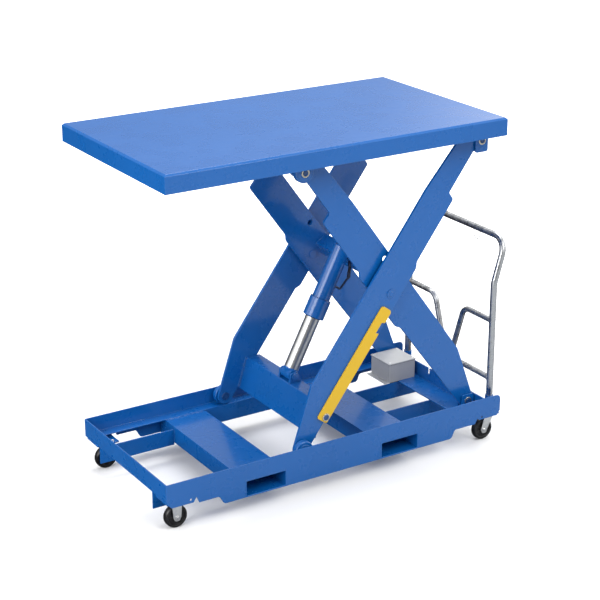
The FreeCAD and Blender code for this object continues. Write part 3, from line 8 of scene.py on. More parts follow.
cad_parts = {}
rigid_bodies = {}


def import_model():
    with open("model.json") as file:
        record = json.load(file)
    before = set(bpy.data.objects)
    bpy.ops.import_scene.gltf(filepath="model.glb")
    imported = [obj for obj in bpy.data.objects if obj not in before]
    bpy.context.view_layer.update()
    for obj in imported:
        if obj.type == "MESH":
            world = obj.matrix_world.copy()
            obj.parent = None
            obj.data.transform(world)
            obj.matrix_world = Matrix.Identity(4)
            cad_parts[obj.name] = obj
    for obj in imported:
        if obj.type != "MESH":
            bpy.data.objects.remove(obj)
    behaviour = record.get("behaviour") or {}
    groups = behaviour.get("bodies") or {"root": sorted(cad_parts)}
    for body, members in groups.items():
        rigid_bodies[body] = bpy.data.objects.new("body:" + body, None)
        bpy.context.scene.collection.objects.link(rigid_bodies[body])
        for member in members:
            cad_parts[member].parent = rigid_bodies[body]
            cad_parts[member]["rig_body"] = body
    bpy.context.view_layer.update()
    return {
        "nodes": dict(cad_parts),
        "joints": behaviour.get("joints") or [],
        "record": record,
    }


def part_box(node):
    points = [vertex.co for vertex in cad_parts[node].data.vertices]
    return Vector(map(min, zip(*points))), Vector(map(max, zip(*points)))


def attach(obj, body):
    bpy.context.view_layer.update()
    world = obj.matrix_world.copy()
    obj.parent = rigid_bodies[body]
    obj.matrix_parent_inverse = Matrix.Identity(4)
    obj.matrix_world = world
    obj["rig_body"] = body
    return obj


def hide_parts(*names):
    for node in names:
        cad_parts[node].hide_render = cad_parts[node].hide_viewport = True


# Looks for the scissor lift table: finishes for every CAD node, and the small fittings, welds
# and seals that a plain solid lacks. Metres, in the CAD frame: +Z up, +X to the push handle.

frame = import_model()
nodes = frame["nodes"]
joints = {joint["name"]: joint for joint in frame["joints"]}


# ---------------------------------------------------------------- places taken from the frame


def joint_point(name):
    return Vector(joints[name]["pos_m"])


def middle(node):
    low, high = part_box(node)
    return (low + high) / 2


PIVOT = joint_point("lift")
DECK_PIN = joint_point("platform_level")
LOWER_ROLLER = joint_point("lower_roller_near_spin")
UPPER_ROLLER = joint_point("upper_roller_near_spin")
ALONG_INNER = (UPPER_ROLLER - PIVOT).normalized()
ALONG_OUTER = (DECK_PIN - LOWER_ROLLER).normalized()
INNER_LEG_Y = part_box("inner_leg_far")[0].y
OUTER_LEG_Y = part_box("outer_leg_far")[0].y
ROLLER_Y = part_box("lower_roller_far")[0].y
LEG_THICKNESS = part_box("inner_leg_far")[1].y - INNER_LEG_Y

ROD_FOOT = joint_point("cylinder_swing")
CYLINDER_TOP = middle("cylinder_upper_pin")
CYLINDER_UP = (CYLINDER_TOP - ROD_FOOT).normalized()
CYLINDER_UP.y = 0
CYLINDER_UP.normalize()
CYLINDER_OUT = Vector((CYLINDER_UP.z, 0, -CYLINDER_UP.x))

DECK_LOW, DECK_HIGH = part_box("platform_deck")
DECK_MIDDLE_X = (DECK_LOW.x + DECK_HIGH.x) / 2

HANDLE_Y = 0.318
TURN = 2 * math.pi


# ---------------------------------------------------------------- node-graph helpers


class Graph:
    """A short way to write a node tree, of a new material or of a given owner."""

    def __init__(self, name, owner=None, output="OutputMaterial"):
        self.owner = owner or bpy.data.materials.new(name)
        self.owner.use_nodes = True
        self.tree = self.owner.node_tree
        self.tree.nodes.clear()
        self.output = self.tree.nodes.new("ShaderNode" + output)

    def add(self, kind, settings=None, **inputs):
        item = self.tree.nodes.new("ShaderNode" + kind)
        for key, setting in (settings or {}).items():
            setattr(item, key, setting)
        for key, entry in inputs.items():
            self.feed(item.inputs[key.replace("_", " ")], entry)
        return item

    def feed(self, socket, entry):
        if isinstance(entry, bpy.types.NodeSocket):
            self.tree.links.new(entry, socket)
        else:
            socket.default_value = entry

    def place(self):
        return self.add("TexCoord").outputs["Object"]

    def noise(self, scale, detail=2.0, rough=0.5, at=None):
        item = self.add("TexNoise", Vector=at or self.place(), Scale=scale, Detail=detail, Roughness=rough)
        return item.outputs["Fac"]

    def stretched(self, along):
        item = self.add("Mapping", Vector=self.place(), Scale=along)
        return item.outputs["Vector"]

    def spread(self, source, low, high, out_low=0.0, out_high=1.0):
        """A smooth step: low becomes out_low and high becomes out_high."""
        item = self.add("MapRange", {"interpolation_type": "SMOOTHSTEP"}, Value=source)
        for key, entry in (("From Min", low), ("From Max", high), ("To Min", out_low), ("To Max", out_high)):
            item.inputs[key].default_value = entry
        return item.outputs["Result"]

    def maths(self, operation, first, second=0.0):
        item = self.add("Math", {"operation": operation, "use_clamp": False})
        self.feed(item.inputs[0], first)
        self.feed(item.inputs[1], second)
        return item.outputs["Value"]

    def dot(self, first, second):
        item = self.add("VectorMath", {"operation": "DOT_PRODUCT"})
        self.feed(item.inputs[0], first)
        self.feed(item.inputs[1], second)
        return item.outputs["Value"]

    def mix(self, factor, first, second):
        item = self.add("Mix", {"data_type": "RGBA"})
        self.feed(item.inputs["Factor"], factor)
        self.feed(item.inputs["A"], first)
        self.feed(item.inputs["B"], second)
        return item.outputs["Result"]

    def edges(self, radius, sharpness=0.02, fade=0.12, samples=6):
        """1 on outside edges and corners, 0 on flats, found from the turn of a rounded normal."""
        rounded = self.add("Bevel", {"samples": samples}, Radius=radius).outputs["Normal"]
        true_normal = self.add("NewGeometry").outputs["True Normal"]
        turn = self.maths("SUBTRACT", 1.0, self.dot(rounded, true_normal))
        return self.spread(turn, sharpness, sharpness + fade), rounded

    def bump(self, height, strength, distance, normal=None):
        item = self.add("Bump", Height=height, Strength=strength, Distance=distance)
        if normal is not None:
            self.feed(item.inputs["Normal"], normal)
        return item.outputs["Normal"]

    def finish(self, **inputs):
        shader = self.add("BsdfPrincipled", **inputs)
        self.tree.links.new(shader.outputs["BSDF"], self.output.inputs["Surface"])
        return self.owner


def tone(red, green, blue):
    return (red, green, blue, 1.0)


# ---------------------------------------------------------------- finishes

# How fine a noise is, in features to the metre.
WAVES = 2.5
CLOUDS = 2.2
BOX_CLOUDS = 12.0
DUST = 9.0
SCUFFS = 38.0
TYRE_DUST = 45.0
MOTTLE = 60.0
ORANGE_PEEL = 160.0
TYRE_GRAIN = 700.0
MOULD_GRAIN = 900.0
# How far a rounded edge reaches in a finish.
PAINT_EDGE = 0.0022
METAL_EDGE = 0.0008
RUBBER_EDGE = 0.0012
PLASTIC_EDGE = 0.0015

PAINT_TONE = tone(0.003, 0.103, 0.372)
EVEN_GRAIN = (90.0, 90.0, 90.0)
COARSE_GRAIN = (40.0, 40.0, 40.0)
DRAWN_GRAIN = (260.0, 260.0, 4.0)
EYE_REACH = 0.026
EYE_FADE = 0.0015


def paint(name, base, deep, worn_and_lit, roughness=0.3, coat=0.55):
    """Gloss powder coat: slight orange peel, cloudy tone, and lighter edges that are partly paint rubbed
    thin and partly a painted highlight.
    """
    edge_light = 0.35
    graph = Graph(name)
    cloud = graph.spread(graph.noise(CLOUDS, 3.0), 0.3, 0.7)
    colour = graph.mix(cloud, deep, base)
    # The lighter, patchy edges are partly paint rubbed thin and partly a painted highlight along the rounded
    # edges.
    edge_mask, rounded = graph.edges(PAINT_EDGE)
    scuffs = graph.spread(graph.noise(SCUFFS, 6.0, 0.65), 0.30, 0.62, 0.45, 1.0)
    patchy_wear_and_highlight = graph.maths("MULTIPLY", edge_mask, graph.maths("MULTIPLY", scuffs, edge_light))
    colour = graph.mix(patchy_wear_and_highlight, colour, worn_and_lit)
    dust = graph.spread(graph.noise(DUST, 5.0, 0.6), 0.35, 0.75, roughness - 0.05, roughness + 0.08)
    peel = graph.noise(ORANGE_PEEL, 0.0)
    waves = graph.noise(WAVES, 0.0)
    relief = graph.maths("ADD", graph.maths("MULTIPLY", peel, 0.05), waves)
    return graph.finish(
        **{"Base Color": colour, "Roughness": dust, "Normal": graph.bump(relief, 0.08, 0.0010, rounded),
           "Coat Weight": coat, "Coat Roughness": 0.09, "Specular IOR Level": 0.35}
    )


def metal(name, light, dark, roughness, grain=EVEN_GRAIN, speckle=MOTTLE, bump=0.15):
    """Bare or plated metal with drawn grain, mottling and a little grime."""
    graph = Graph(name)
    mottle = graph.spread(graph.noise(speckle, 4.0, 0.6), 0.32, 0.68)
    lines = graph.noise(1.0, 3.0, 0.6, graph.stretched(grain))
    blend = graph.maths("ADD", graph.maths("MULTIPLY", mottle, 0.6), graph.maths("MULTIPLY", lines, 0.4))
    _, rounded = graph.edges(METAL_EDGE)
    return graph.finish(
        **{"Base Color": graph.mix(blend, dark, light), "Metallic": 1.0,
           "Roughness": graph.spread(mottle, 0.0, 1.0, roughness - 0.06, roughness + 0.1),
           "Normal": graph.bump(lines, bump, 0.0006, rounded)}
    )


def rubber(name):
    """Black rubber, a little dusty, with a fine moulded grain."""
    graph = Graph(name)
    dust = graph.spread(graph.noise(TYRE_DUST, 5.0, 0.7), 0.45, 0.75)
    colour = graph.mix(dust, tone(0.008, 0.008, 0.009), tone(0.028, 0.027, 0.026))
    _, rounded = graph.edges(RUBBER_EDGE)
    return graph.finish(
        **{"Base Color": colour, "Roughness": graph.spread(dust, 0.0, 1.0, 0.3, 0.5),
           "Normal": graph.bump(graph.noise(TYRE_GRAIN, 2.0), 0.2, 0.0004, rounded)}
    )


def plastic(name, light, dark):
    """Moulded plastic: a fine even grain, soft clouds and paler edges, which are a painted highlight."""
    graph = Graph(name)
    cloud = graph.spread(graph.noise(BOX_CLOUDS, 4.0, 0.6), 0.3, 0.7)
    colour = graph.mix(cloud, dark, light)
    edge_mask, rounded = graph.edges(PLASTIC_EDGE)
    # Paler rounded edges: a painted highlight.
    colour = graph.mix(graph.maths("MULTIPLY", edge_mask, 0.3), colour, tone(0.62, 0.64, 0.66))
    return graph.finish(
        **{"Base Color": colour, "Roughness": graph.spread(cloud, 0.0, 1.0, 0.42, 0.52),
           "Normal": graph.bump(graph.noise(MOULD_GRAIN, 1.0), 0.1, 0.0003, rounded)}
    )


def rod_look():
    """Hard chrome on the rod's bright length, and the eye's blue paint below it."""
    graph = Graph("rod_look")
    height = graph.dot(graph.place(), CYLINDER_UP)
    start = ROD_FOOT.dot(CYLINDER_UP) + EYE_REACH
    bright = graph.spread(height, start, start + EYE_FADE)
    lines = graph.noise(1.0, 3.0, 0.6, graph.stretched(DRAWN_GRAIN))
    chrome = graph.mix(lines, tone(0.36, 0.37, 0.38), tone(0.50, 0.50, 0.49))
    _, rounded = graph.edges(METAL_EDGE)
    return graph.finish(
        **{"Base Color": graph.mix(bright, PAINT_TONE, chrome), "Metallic": bright,
           "Roughness": graph.spread(bright, 0.0, 1.0, 0.3, 0.34),
           "Normal": graph.bump(lines, 0.05, 0.0006, rounded)}
    )


BLUE = paint("blue_paint_look", PAINT_TONE, tone(0.002, 0.096, 0.352), tone(0.16, 0.32, 0.60))
PIN_BLUE = paint("pin_blue_look", tone(0.006, 0.055, 0.20), tone(0.005, 0.048, 0.17), tone(0.10, 0.20, 0.42))
YELLOW = paint("yellow_paint_look", tone(0.70, 0.435, 0.012), tone(0.66, 0.41, 0.010),
               tone(0.84, 0.64, 0.20), roughness=0.38, coat=0.3)
GALVANISED = metal("galvanised_look", tone(0.50, 0.51, 0.52), tone(0.41, 0.42, 0.43), 0.30, COARSE_GRAIN,
                   speckle=30.0, bump=0.02)
ZINC = metal("zinc_look", tone(0.86, 0.86, 0.85), tone(0.70, 0.70, 0.69), 0.34, bump=0.06)
BRONZE = metal("bushing_look", tone(0.74, 0.68, 0.55), tone(0.50, 0.44, 0.34), 0.30)
CHROME = rod_look()
DARK = metal("dark_steel_look", tone(0.10, 0.12, 0.17), tone(0.05, 0.06, 0.09), 0.38)
RUBBER = rubber("black_rubber_look")
PLASTIC = plastic("grey_plastic_look", tone(0.40, 0.405, 0.415), tone(0.365, 0.37, 0.38))
PLASTIC_LID = plastic("grey_lid_look", tone(0.50, 0.505, 0.505), tone(0.45, 0.455, 0.455))

FINISHES = {
    "blue_paint": BLUE,
    "yellow_paint": YELLOW,
    "galvanised_tube": GALVANISED,
    "zinc_steel": ZINC,
    "chrome_rod": CHROME,
    "dark_steel": DARK,
    "black_rubber": RUBBER,
    "grey_plastic": PLASTIC,
}

for part in frame["record"]["subparts"]:
    mesh = nodes[part["node"]].data
    mesh.materials.clear()
    mesh.materials.append(FINISHES[part["material_slot"]])
nodes["control_box_lid"].data.materials[0] = PLASTIC_LID


# ---------------------------------------------------------------- rounds on cut and folded edges

ROUNDED_EDGES = {
    0.0010: ("platform_deck", "side_rail_near", "side_rail_far", "front_end_plate", "front_stringers",
             "rear_stringers", "fork_pocket_front", "fork_pocket_rear", "rear_cross_channel",
             "inner_leg_near", "inner_leg_far", "outer_leg_near", "outer_leg_far", "inner_cross_member",
             "outer_cross_member", "base_pivot_brackets", "platform_brackets", "cylinder_upper_bracket",
             "cylinder_lower_bracket", "maintenance_bar", "roller_tracks", "platform_stiffeners"),
    0.0008: ("control_box", "control_box_lid", "cylinder_barrel", "cylinder_gland", "center_pins",
             "upper_roller_near", "upper_roller_far", "lower_roller_near", "lower_roller_far"),
    0.0006: ("swivel_caster_plates", "cylinder_lower_pin", "cylinder_upper_pin",
             "handle_sockets", "handle_loop_near", "handle_loop_far"),
}
SAME_POINT = 0.00001
FLAT_TURN = math.radians(0.5)
SHARP_TURN = math.radians(40)


def round_edges(node, width):
    """Joins the node's flat triangles into whole faces, then rounds its sharp edges."""
    joined = nodes[node].modifiers.new("joined", "WELD")
    joined.merge_threshold = SAME_POINT
    whole = nodes[node].modifiers.new("whole_faces", "DECIMATE")
    whole.decimate_type = "DISSOLVE"
    whole.angle_limit = FLAT_TURN
    soft = nodes[node].modifiers.new("soft_edges", "BEVEL")
    soft.width = width
    soft.segments = 2
    soft.limit_method = "ANGLE"
    soft.angle_limit = SHARP_TURN
    soft.use_clamp_overlap = False
    soft.loop_slide = False
    flat = nodes[node].modifiers.new("flat_faces", "WEIGHTED_NORMAL")
    flat.weight = 100


for round_width, round_nodes in ROUNDED_EDGES.items():
    for name in round_nodes:
        round_edges(name, round_width)


# ---------------------------------------------------------------- mesh helpers

FITTING_STEPS = 48
WASHER_SOFT = 0.0008
WELD_CREASE = 60.0
# A hexagon head's flat top and the shallow dish in it, as parts of its width across flats.
HEX_FLAT = 0.485
HEX_SLOPE = 0.55
DISH_OUTER = 0.8
DISH_INNER = 0.72
DISH_DEPTH = 0.0004
# A weld bead: path points to a ripple, then its narrowest width, its ripple and its slow drift.
RIPPLE_POINTS = 4
BEAD_BASE = 0.84
BEAD_RIPPLE = 0.2
BEAD_DRIFT = 0.05
DRIFT_TURN = 0.37
BEAD_END = 0.45
BEAD_TAPER = 0.2


def aimed(origin, along):
    """A matrix whose local Z points along a direction, with its origin at a point."""
    z = Vector(along).normalized()
    side = Vector((0, 0, 1))
    if abs(z.dot(side)) > 0.9:
        side = Vector((1, 0, 0))
    x = side.cross(z).normalized()
    y = z.cross(x)
    return Matrix.Translation(Vector(origin)) @ Matrix((x, y, z)).transposed().to_4x4()


def hexagon(flats):
    """The radius of a hexagon, by angle, from its width across flats."""
    step = TURN / 6
    return lambda angle: flats / 2 / math.cos((angle + step / 2) % step - step / 2)


def turned_point(radius, height, angle):
    """A point of a turned outline at an angle; either size may be a function of that angle."""
    reach = radius(angle) if callable(radius) else radius
    level = height(angle) if callable(height) else height
    return Vector((reach * math.cos(angle), reach * math.sin(angle), level))


class Shape:
    """Builds one piece; every face keeps the number of the look it takes."""

    def __init__(self):
        self.mesh = bmesh.new()

    def ring(self, points):
        return [self.mesh.verts.new(point) for point in points]

    def skin(self, first, second, look=0):
        """Faces between two rings; a ring of one point makes a fan."""
        count = max(len(first), len(second))
        for index in range(count):
            following = (index + 1) % count
            corners = []
            for ring, order in ((first, (index, following)), (second, (following, index))):
                for pick in order:
                    corner = ring[pick % len(ring)]
                    if corner not in corners:
                        corners.append(corner)
            face = self.mesh.faces.new(corners)
            face.material_index = look
            face.smooth = True

    def lathe(self, profile, place, count=40):
        """Turns (radius, height, look) steps about the place's Z."""
        previous = None
        for radius, height, look in profile:
            around = 1 if radius == 0 else count
            ring = self.ring([place @ turned_point(radius, height, TURN * index / count)
                              for index in range(around)])
            if previous is not None:
                self.skin(previous, ring, look)
            previous = ring

    def rod(self, place, radius, low, high, count):
        """A plain shank between two heights on the place's Z."""
        self.lathe([(0, low, 0), (radius, low, 0), (radius, high, 0), (0, high, 0)], place, count)

    def hex_head(self, place, flats, height, look=0, base=0.0):
        """A hexagon with a chamfered, slightly dished top."""
        around = hexagon(flats)
        flat_r = flats * HEX_FLAT
        top = base + height
        self.lathe([
            (0, base, look),
            (around, base, look),
            (around, lambda angle: top - (around(angle) - flat_r) * HEX_SLOPE, look),
            (flat_r, top, look),
            (flat_r * DISH_OUTER, top, look),
            (flat_r * DISH_INNER, top - DISH_DEPTH, look),
            (0, top - DISH_DEPTH, look),
        ], place, FITTING_STEPS)

    def washer(self, place, outer, thickness, look=0, base=0.0):
        """A flat ring with a soft outer edge."""
        soft = min(thickness * 0.3, WASHER_SOFT)
        self.lathe([
            (0, base, look), (outer, base, look), (outer, base + thickness - soft, look),
            (outer - soft, base + thickness, look), (0, base + thickness, look),
        ], place, FITTING_STEPS)

    def tube(self, points, radii, look=0, count=16, closed=False):
        """A round tube through points; radii holds one number, or one for each point."""
        points = [Vector(point) for point in points]
        total = len(points)
        if not isinstance(radii, (list, tuple)):
            radii = [radii] * total
        normal = None
        rings = []
        for index, point in enumerate(points):
            before = points[(index - 1) % total] if closed or index > 0 else point
            after = points[(index + 1) % total] if closed or index < total - 1 else point
            tangent = (after - before).normalized()
            if normal is None:
                normal = tangent.orthogonal().normalized()
            normal = (normal - tangent * normal.dot(tangent)).normalized()
            across = tangent.cross(normal)
            rings.append(self.ring([
                point + (normal * math.cos(TURN * step / count) + across * math.sin(TURN * step / count))
                * radii[index] for step in range(count)
            ]))
        for first, second in zip(rings, rings[1:]):
            self.skin(first, second, look)
        if closed:
            self.skin(rings[-1], rings[0], look)
        else:
            self.skin([self.mesh.verts.new(points[0])], rings[0], look)
            self.skin(rings[-1], [self.mesh.verts.new(points[-1])], look)

    def weld(self, points, radius=0.0028, closed=False, pitch=0.005):
        """A weld bead with ripples along a path, thinner at its open ends."""
        points = [Vector(point) for point in points]
        if closed:
            points.append(points[0])
        path = []
        for start, end in zip(points, points[1:]):
            steps = max(1, round((end - start).length / (pitch / RIPPLE_POINTS)))
            path += [start.lerp(end, step / steps) for step in range(steps)]
        if not closed:
            path.append(points[-1])
        radii = []
        for index in range(len(path)):
            ripple = abs(math.sin(math.pi * (index % RIPPLE_POINTS) / RIPPLE_POINTS))
            drift = math.sin(index * DRIFT_TURN)
            to_end = min(index, len(path) - 1 - index)
            taper = 1.0 if closed else min(1.0, BEAD_END + BEAD_TAPER * to_end)
            radii.append(radius * taper * (BEAD_BASE + BEAD_RIPPLE * ripple + BEAD_DRIFT * drift))
        self.tube(path, radii, count=8, closed=closed)

    def done(self, name, body, looks, stands_for=(), sharp=35.0):
        """Makes the object, rides it on its body and hides the CAD nodes it stands for."""
        bmesh.ops.recalc_face_normals(self.mesh, faces=self.mesh.faces)
        mesh = bpy.data.meshes.new(name)
        self.mesh.to_mesh(mesh)
        self.mesh.free()
        for look in looks:
            mesh.materials.append(look)
        mesh.set_sharp_from_angle(angle=math.radians(sharp))
        item = bpy.data.objects.new(name, mesh)
        bpy.context.scene.collection.objects.link(item)
        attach(item, body)
        if stands_for:
            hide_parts(*stands_for)


def smooth_path(corners, steps=10):
    """Points of a rounded path through corners (a Catmull-Rom curve)."""
    corners = [Vector(corner) for corner in corners]
    ends = [2 * corners[0] - corners[1]] + corners + [2 * corners[-1] - corners[-2]]
    path = []
    for index in range(1, len(ends) - 2):
        a, b, c, d = ends[index - 1:index + 3]
        for step in range(steps):
            t = step / steps
            path.append(0.5 * (2 * b + (c - a) * t + (2 * a - 5 * b + 4 * c - d) * t * t
                               + (3 * b - a - 3 * c + d) * t * t * t))
    path.append(corners[-1])
    return path


def body_of(node):
    return nodes[node]["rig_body"]


# ---------------------------------------------------------------- pins with their retaining rings

PIN_R = 0.016
ROLLER_PIN_R = 0.015
COLLAR_R = 0.020
GAP = 0.0003
BASE_PIN_START = 0.276
DECK_PIN_START = 0.306
HEAD_R = 0.019
HEAD_THICKNESS = 0.003
HEAD_CHAMFER = 0.002
RING_R = 0.0185
RING_HOLE_R = 0.0132
RING_SOFT = 0.0008
RING_DISH = 0.0012
RING_THICKNESS = 0.003
RING_TO_TIP = 0.002
TIP_R = 0.0115
TIP_CHAMFER = 0.001
LATHE_CENTRE_R = 0.0030
LATHE_CENTRE_DEPTH = 0.0016


def pin_faces(node, place, radius, start, collar=None):
    """Both pins of a pair: an inboard head, a shank, a bright ring and a dark turned tip outboard."""
    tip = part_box(node)[1].y
    ring_high = tip - RING_TO_TIP
    ring_low = ring_high - RING_THICKNESS
    head = start - HEAD_THICKNESS
    profile = [
        (0, head, 1), (HEAD_R - HEAD_CHAMFER, head, 1), (HEAD_R, head + HEAD_CHAMFER, 1),
        (HEAD_R, start, 1), (radius, start, 1),
    ]
    if collar:
        low, high, wide = collar
        profile += [(radius, low, 1), (wide, low, 1), (wide, high, 1), (radius, high, 1)]
    profile += [
        (radius, ring_low, 1), (RING_R, ring_low, 0), (RING_R, ring_high - RING_SOFT, 0),
        (RING_R - RING_SOFT, ring_high, 0), (RING_HOLE_R, ring_high, 0),
        (RING_HOLE_R - RING_SOFT, ring_high - RING_DISH, 0),
        (TIP_R, ring_high - RING_DISH, 1), (TIP_R, tip - TIP_CHAMFER, 1), (TIP_R - TIP_CHAMFER, tip, 1),
        (LATHE_CENTRE_R, tip, 1), (0, tip - LATHE_CENTRE_DEPTH, 1),
    ]
    shape = Shape()
    for side in (-1, 1):
        shape.lathe(profile, aimed((place.x, 0, place.z), (0, side, 0)), count=56)
    shape.done(node + "_turned", body_of(node), [BRONZE, PIN_BLUE], [node])


pin_faces("base_pivot_pins", PIVOT, PIN_R, BASE_PIN_START - GAP)
pin_faces("platform_pins", DECK_PIN, PIN_R, DECK_PIN_START - GAP)
for node, place, leg_y in (("lower_roller_pins", LOWER_ROLLER, OUTER_LEG_Y),
                           ("upper_roller_pins", UPPER_ROLLER, INNER_LEG_Y)):
    pin_faces(node, place, ROLLER_PIN_R, leg_y - GAP,
              (leg_y + LEG_THICKNESS + GAP, ROLLER_Y - GAP, COLLAR_R))


# ---------------------------------------------------------------- wheels

WHEEL_R = 0.0508
WHEEL_HALF = 0.015
BORE_R = 0.0051
BEARING_R = 0.0130
HUB_R = 0.0165
WEB_DEPTH = 0.0055
RIBS = 8
RIB_START = 0.0172
RIB_END = WHEEL_R - 0.0125
RIB_START_WIDE = 0.0026
RIB_END_WIDE = 0.0017
RIB_FOOT = WHEEL_HALF - 0.0062
RIB_TOP = WHEEL_HALF - 0.0028
# A rib's section: how far out, in its own width, and how high.
RIB_SECTION = ((-1.2, RIB_FOOT), (-0.8, RIB_TOP), (0.8, RIB_TOP), (1.2, RIB_FOOT))
WHEEL_CREASE = 28.0


def wheel_profile():
    """Half of a wheel's section, from the middle of its bore out to the middle of its tread."""
    half = WHEEL_HALF
    rim = WHEEL_R
    web = half - WEB_DEPTH
    bearing = [(BORE_R, 0.0, 1), (BORE_R, half + 0.001, 1), (BEARING_R - 0.0005, half + 0.001, 1),
               (BEARING_R, half + 0.0003, 1), (BEARING_R, half - 0.001, 0)]
    hub = [(HUB_R, half - 0.001, 0), (HUB_R + 0.001, half - 0.002, 0), (HUB_R + 0.0017, web, 0)]
    wall = [(rim - 0.0145, web, 0), (rim - 0.0135, half - 0.0040, 0), (rim - 0.0115, half - 0.0006, 0),
            (rim - 0.0100, half, 0), (rim - 0.0062, half, 0)]
    groove = [(rim - 0.0056, half - 0.0007, 0), (rim - 0.0046, half - 0.0007, 0),
              (rim - 0.0040, half - 0.0004, 0)]
    tread = [(rim - 0.0026, half - 0.0016, 0), (rim - 0.0010, half - 0.0045, 0),
             (rim - 0.0002, half - 0.0085, 0), (rim, 0.0, 0)]
    return bearing + hub + wall + groove + tread


def wheel_rib(shape, place, angle):
    """One moulded rib on a wheel's web, narrower towards the rim."""
    radial = Vector((math.cos(angle), math.sin(angle), 0))
    across = Vector((-math.sin(angle), math.cos(angle), 0))
    ends = []
    for reach, wide in ((RIB_START, RIB_START_WIDE), (RIB_END, RIB_END_WIDE)):
        ends.append([place @ (radial * reach + across * (wide * out) + Vector((0, 0, level)))
                     for out, level in RIB_SECTION])
    first, second = (shape.ring(end) for end in ends)
    shape.skin(first, second)
    for end in (first, second):
        face = shape.mesh.faces.new(end)
        face.smooth = True


def caster_wheel(node):
    """A moulded wheel: crowned tread, stepped side wall, ribbed web and a pressed bearing cap."""
    shape = Shape()
    for side in (-1, 1):
        place = aimed(middle(node), (0, side, 0))
        shape.lathe(wheel_profile(), place, count=64)
        for index in range(RIBS):
            wheel_rib(shape, place, TURN * (index + 0.5) / RIBS)
    bmesh.ops.remove_doubles(shape.mesh, verts=shape.mesh.verts, dist=SAME_POINT)
    shape.done(node + "_moulded", body_of(node), [RUBBER, ZINC], [node], sharp=WHEEL_CREASE)


for name in ("front_wheel_near", "front_wheel_far", "rear_wheel_near", "rear_wheel_far"):
    caster_wheel(name)


# ---------------------------------------------------------------- bolts, nuts and screws

SEAT_GAP = 0.0002

AXLE_R = 0.005
AXLE_HALF = 0.021
AXLE_FLATS = 0.0135
AXLE_WASHER_R = 0.0079
LOCK_WASHER = 0.0012
HEAD_WASHER = 0.0010
LOCK_NUT_HEX = 0.0034
LOCK_NUT_COLLAR_R = 0.0058
LOCK_COLLAR_RISE = 0.0030
AXLE_HEAD_HEIGHT = 0.0037

CASTER_BOLT_R = 0.004
CASTER_BOLT_X = 0.020
CASTER_BOLT_Y = 0.036
CASTER_BOLT_FLATS = 0.0120
CASTER_BOLT_HEAD_R = 0.007
CASTER_BOLT_WASHER = 0.0008
CASTER_NUT_SEAT = 0.0035
CASTER_HEAD_SEAT = 0.005
CASTER_NUT_HEIGHT = 0.0032
CASTER_HEAD_HEIGHT = 0.0038

HANDLE_BOLT_R = 0.004
HANDLE_BOLT_HALF = 0.020
HANDLE_BOLT_FLATS = 0.0118
HANDLE_WASHER_R = 0.0069
HANDLE_NUT_HEIGHT = 0.0048
HANDLE_HEAD_HEIGHT = 0.0038
SOCKET_INNER_Y = 0.299

BAR_BOLT_R = 0.008
BAR_WASHER_R = 0.018
BAR_WASHER_THICKNESS = 0.003
BAR_DOME_HEIGHT = 0.003

SCREW_R = 0.0025
SCREW_HEAD_R = 0.0050
SCREW_HEAD_HEIGHT = 0.0025
SCREW_SOCKET_FLATS = 0.0036
SCREW_SOCKET_DEPTH = 0.0015


def outward_and_inward(place):
    """Two matrices at a place beside the middle plane: one faces away from that plane, one towards it."""
    side = math.copysign(1, place[1])
    return aimed(place, (0, side, 0)), aimed(place, (0, -side, 0))


def axle_set(node, wheels):
    """An axle bolt for each wheel: a hexagon head inboard, a washer and a lock nut outboard."""
    shape = Shape()
    washer = AXLE_HALF + SEAT_GAP
    nut = washer + LOCK_WASHER
    collar = nut + LOCK_COLLAR_RISE
    for wheel in wheels:
        out, inward = outward_and_inward(middle(wheel))
        shape.rod(out, AXLE_R, -AXLE_HALF, AXLE_HALF, 24)
        shape.washer(out, AXLE_WASHER_R, LOCK_WASHER, base=washer)
        shape.hex_head(out, AXLE_FLATS, LOCK_NUT_HEX, base=nut)
        shape.lathe([
            (0, collar, 0), (LOCK_NUT_COLLAR_R, collar, 0), (LOCK_NUT_COLLAR_R - 0.0004, collar + 0.0012, 0),
            (0.0040, collar + 0.0016, 0), (0, collar + 0.0012, 0),
        ], out, count=32)
        shape.washer(inward, AXLE_WASHER_R, HEAD_WASHER, base=washer)
        shape.hex_head(inward, AXLE_FLATS, AXLE_HEAD_HEIGHT, base=washer + HEAD_WASHER)
    shape.done(node + "_hex", body_of(node), [ZINC], [node])


def caster_bolts():
    """Four bolts through each caster plate: a nut below, a washer and a head above."""
    shape = Shape()
    low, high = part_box("caster_bolts")
    plate_low = low.z + CASTER_NUT_SEAT
    pad_top = high.z - CASTER_HEAD_SEAT
    front = middle("front_wheel_near").x
    rear = high.x - CASTER_BOLT_HEAD_R - CASTER_BOLT_X
    caster_y = middle("front_wheel_far").y
    for x in (front, rear):
        for y in (-caster_y, caster_y):
            for dx in (-CASTER_BOLT_X, CASTER_BOLT_X):
                for dy in (-CASTER_BOLT_Y, CASTER_BOLT_Y):
                    foot = (x + dx, y + dy, plate_low)
                    above = aimed((x + dx, y + dy, pad_top), (0, 0, 1))
                    shape.rod(aimed(foot, (0, 0, 1)), CASTER_BOLT_R, 0, pad_top - plate_low, 16)
                    shape.hex_head(aimed(foot, (0, 0, -1)), CASTER_BOLT_FLATS, CASTER_NUT_HEIGHT,
                                   base=SEAT_GAP)
                    shape.washer(above, CASTER_BOLT_HEAD_R, CASTER_BOLT_WASHER, base=SEAT_GAP)
                    shape.hex_head(above, CASTER_BOLT_FLATS, CASTER_HEAD_HEIGHT,
                                   base=SEAT_GAP + CASTER_BOLT_WASHER)
    shape.done("caster_bolts_hex", "base", [ZINC], ["caster_bolts"])


